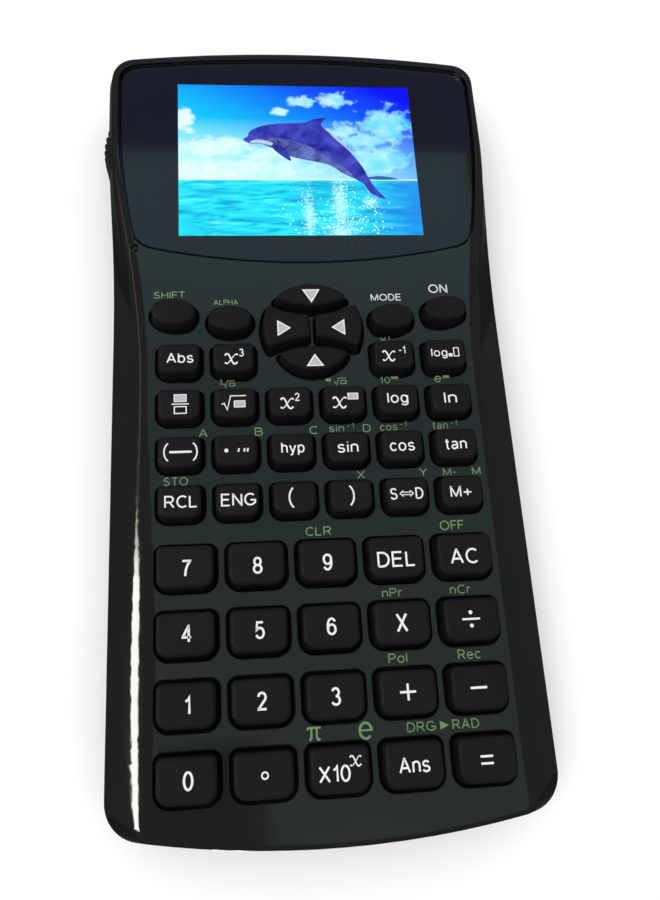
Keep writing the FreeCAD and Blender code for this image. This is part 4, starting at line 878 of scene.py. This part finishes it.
picture_part("scene_island", (((0.775, 0.372), (0.80, 0.386), (0.84, 0.392), (0.88, 0.386), (0.905, 0.378),
                               (0.92, 0.370), (0.85, 0.367)),),
             lit("island_blue", (0.01, 0.10, 0.42), (0.03, 0.22, 0.50)), 1)
spray("scene_spray", 11, 420, lit("spray_white", (0.45, 0.95, 1.0), (0.9, 1.0, 1.0), 1.1))
picture_part("scene_dolphin_back", (
    ((0.272, 0.632), (0.292, 0.655), (0.302, 0.690), (0.345, 0.722), (0.410, 0.742), (0.480, 0.748),
     (0.535, 0.752), (0.575, 0.775), (0.632, 0.790), (0.612, 0.755), (0.612, 0.722), (0.660, 0.660),
     (0.720, 0.560), (0.770, 0.455), (0.792, 0.385), (0.818, 0.315), (0.858, 0.240), (0.800, 0.275),
     (0.772, 0.335), (0.735, 0.372), (0.680, 0.415), (0.630, 0.465), (0.560, 0.490), (0.470, 0.520),
     (0.400, 0.572), (0.345, 0.604), (0.300, 0.606)),),
    lit("dolphin_blue", (0.010, 0.013, 0.29), (0.085, 0.09, 0.68)), 2)
picture_part("scene_dolphin_shade", (
    ((0.330, 0.640), (0.400, 0.645), (0.480, 0.625), (0.560, 0.585), (0.640, 0.510), (0.735, 0.385),
     (0.680, 0.420), (0.630, 0.468), (0.560, 0.493), (0.470, 0.523), (0.400, 0.575), (0.345, 0.607)),),
    lit("dolphin_shade", (0.012, 0.014, 0.18), (0.16, 0.20, 0.62), size=420.0), 3)
picture_part("scene_dolphin_belly", (
    ((0.300, 0.612), (0.330, 0.632), (0.385, 0.618), (0.400, 0.590), (0.345, 0.607)),
    ((0.640, 0.690), (0.690, 0.625), (0.738, 0.535), (0.700, 0.590), (0.655, 0.655))),
    lit("dolphin_pale", (0.30, 0.42, 0.90), (0.70, 0.88, 0.99)), 4)
picture_part("scene_dolphin_fin", (
    ((0.395, 0.600), (0.425, 0.590), (0.452, 0.560), (0.470, 0.490), (0.435, 0.520), (0.400, 0.565)),),
    lit("fin_blue", (0.012, 0.012, 0.24), (0.04, 0.045, 0.45)), 5)


# ------------------------------------------------------------------ floor, lights, reflections
def stage_piece(name, verts, faces, mat):
    """Part of the studio, which isn't part of the object."""
    mesh = bpy.data.meshes.new(name)
    mesh.from_pydata(verts, [], faces)
    mesh.materials.append(mat)
    obj = bpy.data.objects.new(name, mesh)
    bpy.context.scene.collection.objects.link(obj)
    return obj


floor_mat, floor_nodes, floor_shader, floor_where = material("floor_pale")
floor_nodes.feed(floor_shader, Roughness=0.9, Base_Color=floor_nodes.mix(
    floor_nodes.noise(floor_where, 3.0, 2.0), (0.93, 0.93, 0.93), (0.95, 0.95, 0.95)))
floor = stage_piece("floor", [(-3, -3, 0), (3, -3, 0), (3, 3, 0), (-3, 3, 0)], [(0, 1, 2, 3)], floor_mat)
floor.visible_glossy = False


DOME_RADIUS = 2.2


def dome_tone(nodes, x, y, z):
    """What the dome shows in each direction. East and north are slopes away from straight up."""
    above, below, every = nodes.above, nodes.below, nodes.every
    up = nodes.math("MAXIMUM", z, 0.02)
    east = nodes.math("DIVIDE", x, up)
    north = nodes.math("DIVIDE", y, up)
    west = nodes.math("DIVIDE", nodes.math("MULTIPLY", x, -1.0), up)

    # dark walls, a little lighter higher up
    tone = nodes.ramp(z, ((0.0, (0.07, 0.068, 0.066)), (0.04, (0.17, 0.165, 0.16)),
                          (0.40, (0.215, 0.208, 0.20)), (0.9, (0.24, 0.24, 0.22))))

    # the cool card overhead, bluer towards the screen end
    card = nodes.ramp(north, ((0.0, (0.455, 0.625, 0.585)), (0.42, (0.42, 0.60, 0.64)),
                              (0.66, (0.54, 0.80, 0.92))))
    overhead = every(above(z, 0.2), below(east, 0.36), above(east, -0.32), above(north, -0.24),
                     below(north, 0.81))
    tone = nodes.mix(overhead, tone, card)

    # the dark violet card beyond it
    beyond = every(above(z, 0.1), above(north, 0.81), below(nodes.math("ABSOLUTE", east), 0.5))
    tone = nodes.mix(beyond, tone, (0.23, 0.25, 0.44))

    # the dark patch that covers the overhead card's near left corner
    corner = every(below(east, 0.010), below(north, -0.046), above(z, 0.3))
    tone = nodes.mix(corner, tone, (0.24, 0.235, 0.22))

    # the bright strip on the left: it leans outwards to the south and narrows to a tip in the north
    south = nodes.math("MAXIMUM", nodes.math("SUBTRACT", -0.02, y), 0.0)
    tip = nodes.math("MULTIPLY", nodes.math("MAXIMUM", nodes.math("SUBTRACT", y, 0.14), 0.0), 5.0)
    near_side = nodes.math("ADD", nodes.math("SUBTRACT", 1.03, nodes.math("MULTIPLY", south, 1.5)), tip)
    far_side = nodes.math("ADD", 1.64, nodes.math("MULTIPLY", south, 8.0))
    strip = every(above(west, near_side), below(west, far_side), above(y, -0.19), below(y, 0.24))
    shine = nodes.ramp(nodes.math("MULTIPLY", y, 4.0, True), (
        (0.56, (23.0, 23.0, 22.0)), (0.84, (5.0, 4.4, 3.4)), (0.95, (1.5, 1.2, 0.8))))
    tone = nodes.mix(strip, tone, shine)

    # and the dim line that carries on from it
    line = every(above(west, 1.3), below(west, 1.8), above(y, 0.24), below(y, 0.52))
    return nodes.mix(line, tone, (0.9, 0.88, 0.75))


def studio_dome():
    """A far dome that only reflections see. It stands for the room round the object."""
    bm = bmesh.new()
    bmesh.ops.create_uvsphere(bm, u_segments=64, v_segments=32, radius=DOME_RADIUS)
    mesh = bpy.data.meshes.new("studio_dome")
    bm.to_mesh(mesh)
    bm.free()
    mat = bpy.data.materials.new("studio_dome")
    mat.use_nodes = True
    mat.node_tree.nodes.clear()
    nodes = Nodes(mat.node_tree)
    where = nodes.add("ShaderNodeTexCoord").outputs["Object"]
    aim = nodes.add("ShaderNodeVectorMath", operation="NORMALIZE")
    nodes.link(where, aim.inputs[0])
    split = nodes.add("ShaderNodeSeparateXYZ")
    nodes.link(aim.outputs[0], split.inputs[0])
    glow = nodes.add("ShaderNodeEmission")
    nodes.link(dome_tone(nodes, *split.outputs), glow.inputs[0])
    out = nodes.add("ShaderNodeOutputMaterial")
    nodes.link(glow.outputs[0], out.inputs[0])
    mesh.materials.append(mat)
    dome = bpy.data.objects.new("studio_dome", mesh)
    bpy.context.scene.collection.objects.link(dome)
    dome.visible_camera = False
    dome.visible_diffuse = False
    dome.visible_shadow = False


studio_dome()


def soft_light(name, place, aim, size, power):
    """A round soft lamp that reflections don't show."""
    data = bpy.data.lights.new(name, "AREA")
    data.shape = "DISK"
    data.size = size
    data.energy = power
    obj = bpy.data.objects.new(name, data)
    bpy.context.scene.collection.objects.link(obj)
    obj.location = place
    obj.rotation_euler = (Vector(aim) - Vector(place)).to_track_quat("-Z", "Y").to_euler()
    obj.visible_glossy = False


soft_light("key_light", (-0.5, -0.3, 1.1), (0, 0, 0), 0.9, 4.5)

world = bpy.data.worlds.new("studio")
world.use_nodes = True
world.node_tree.nodes["Background"].inputs[0].default_value = (1.0, 1.0, 1.0, 1.0)
world.node_tree.nodes["Background"].inputs[1].default_value = 1.0
bpy.context.scene.world = world
bpy.context.scene.view_settings.view_transform = "Standard"
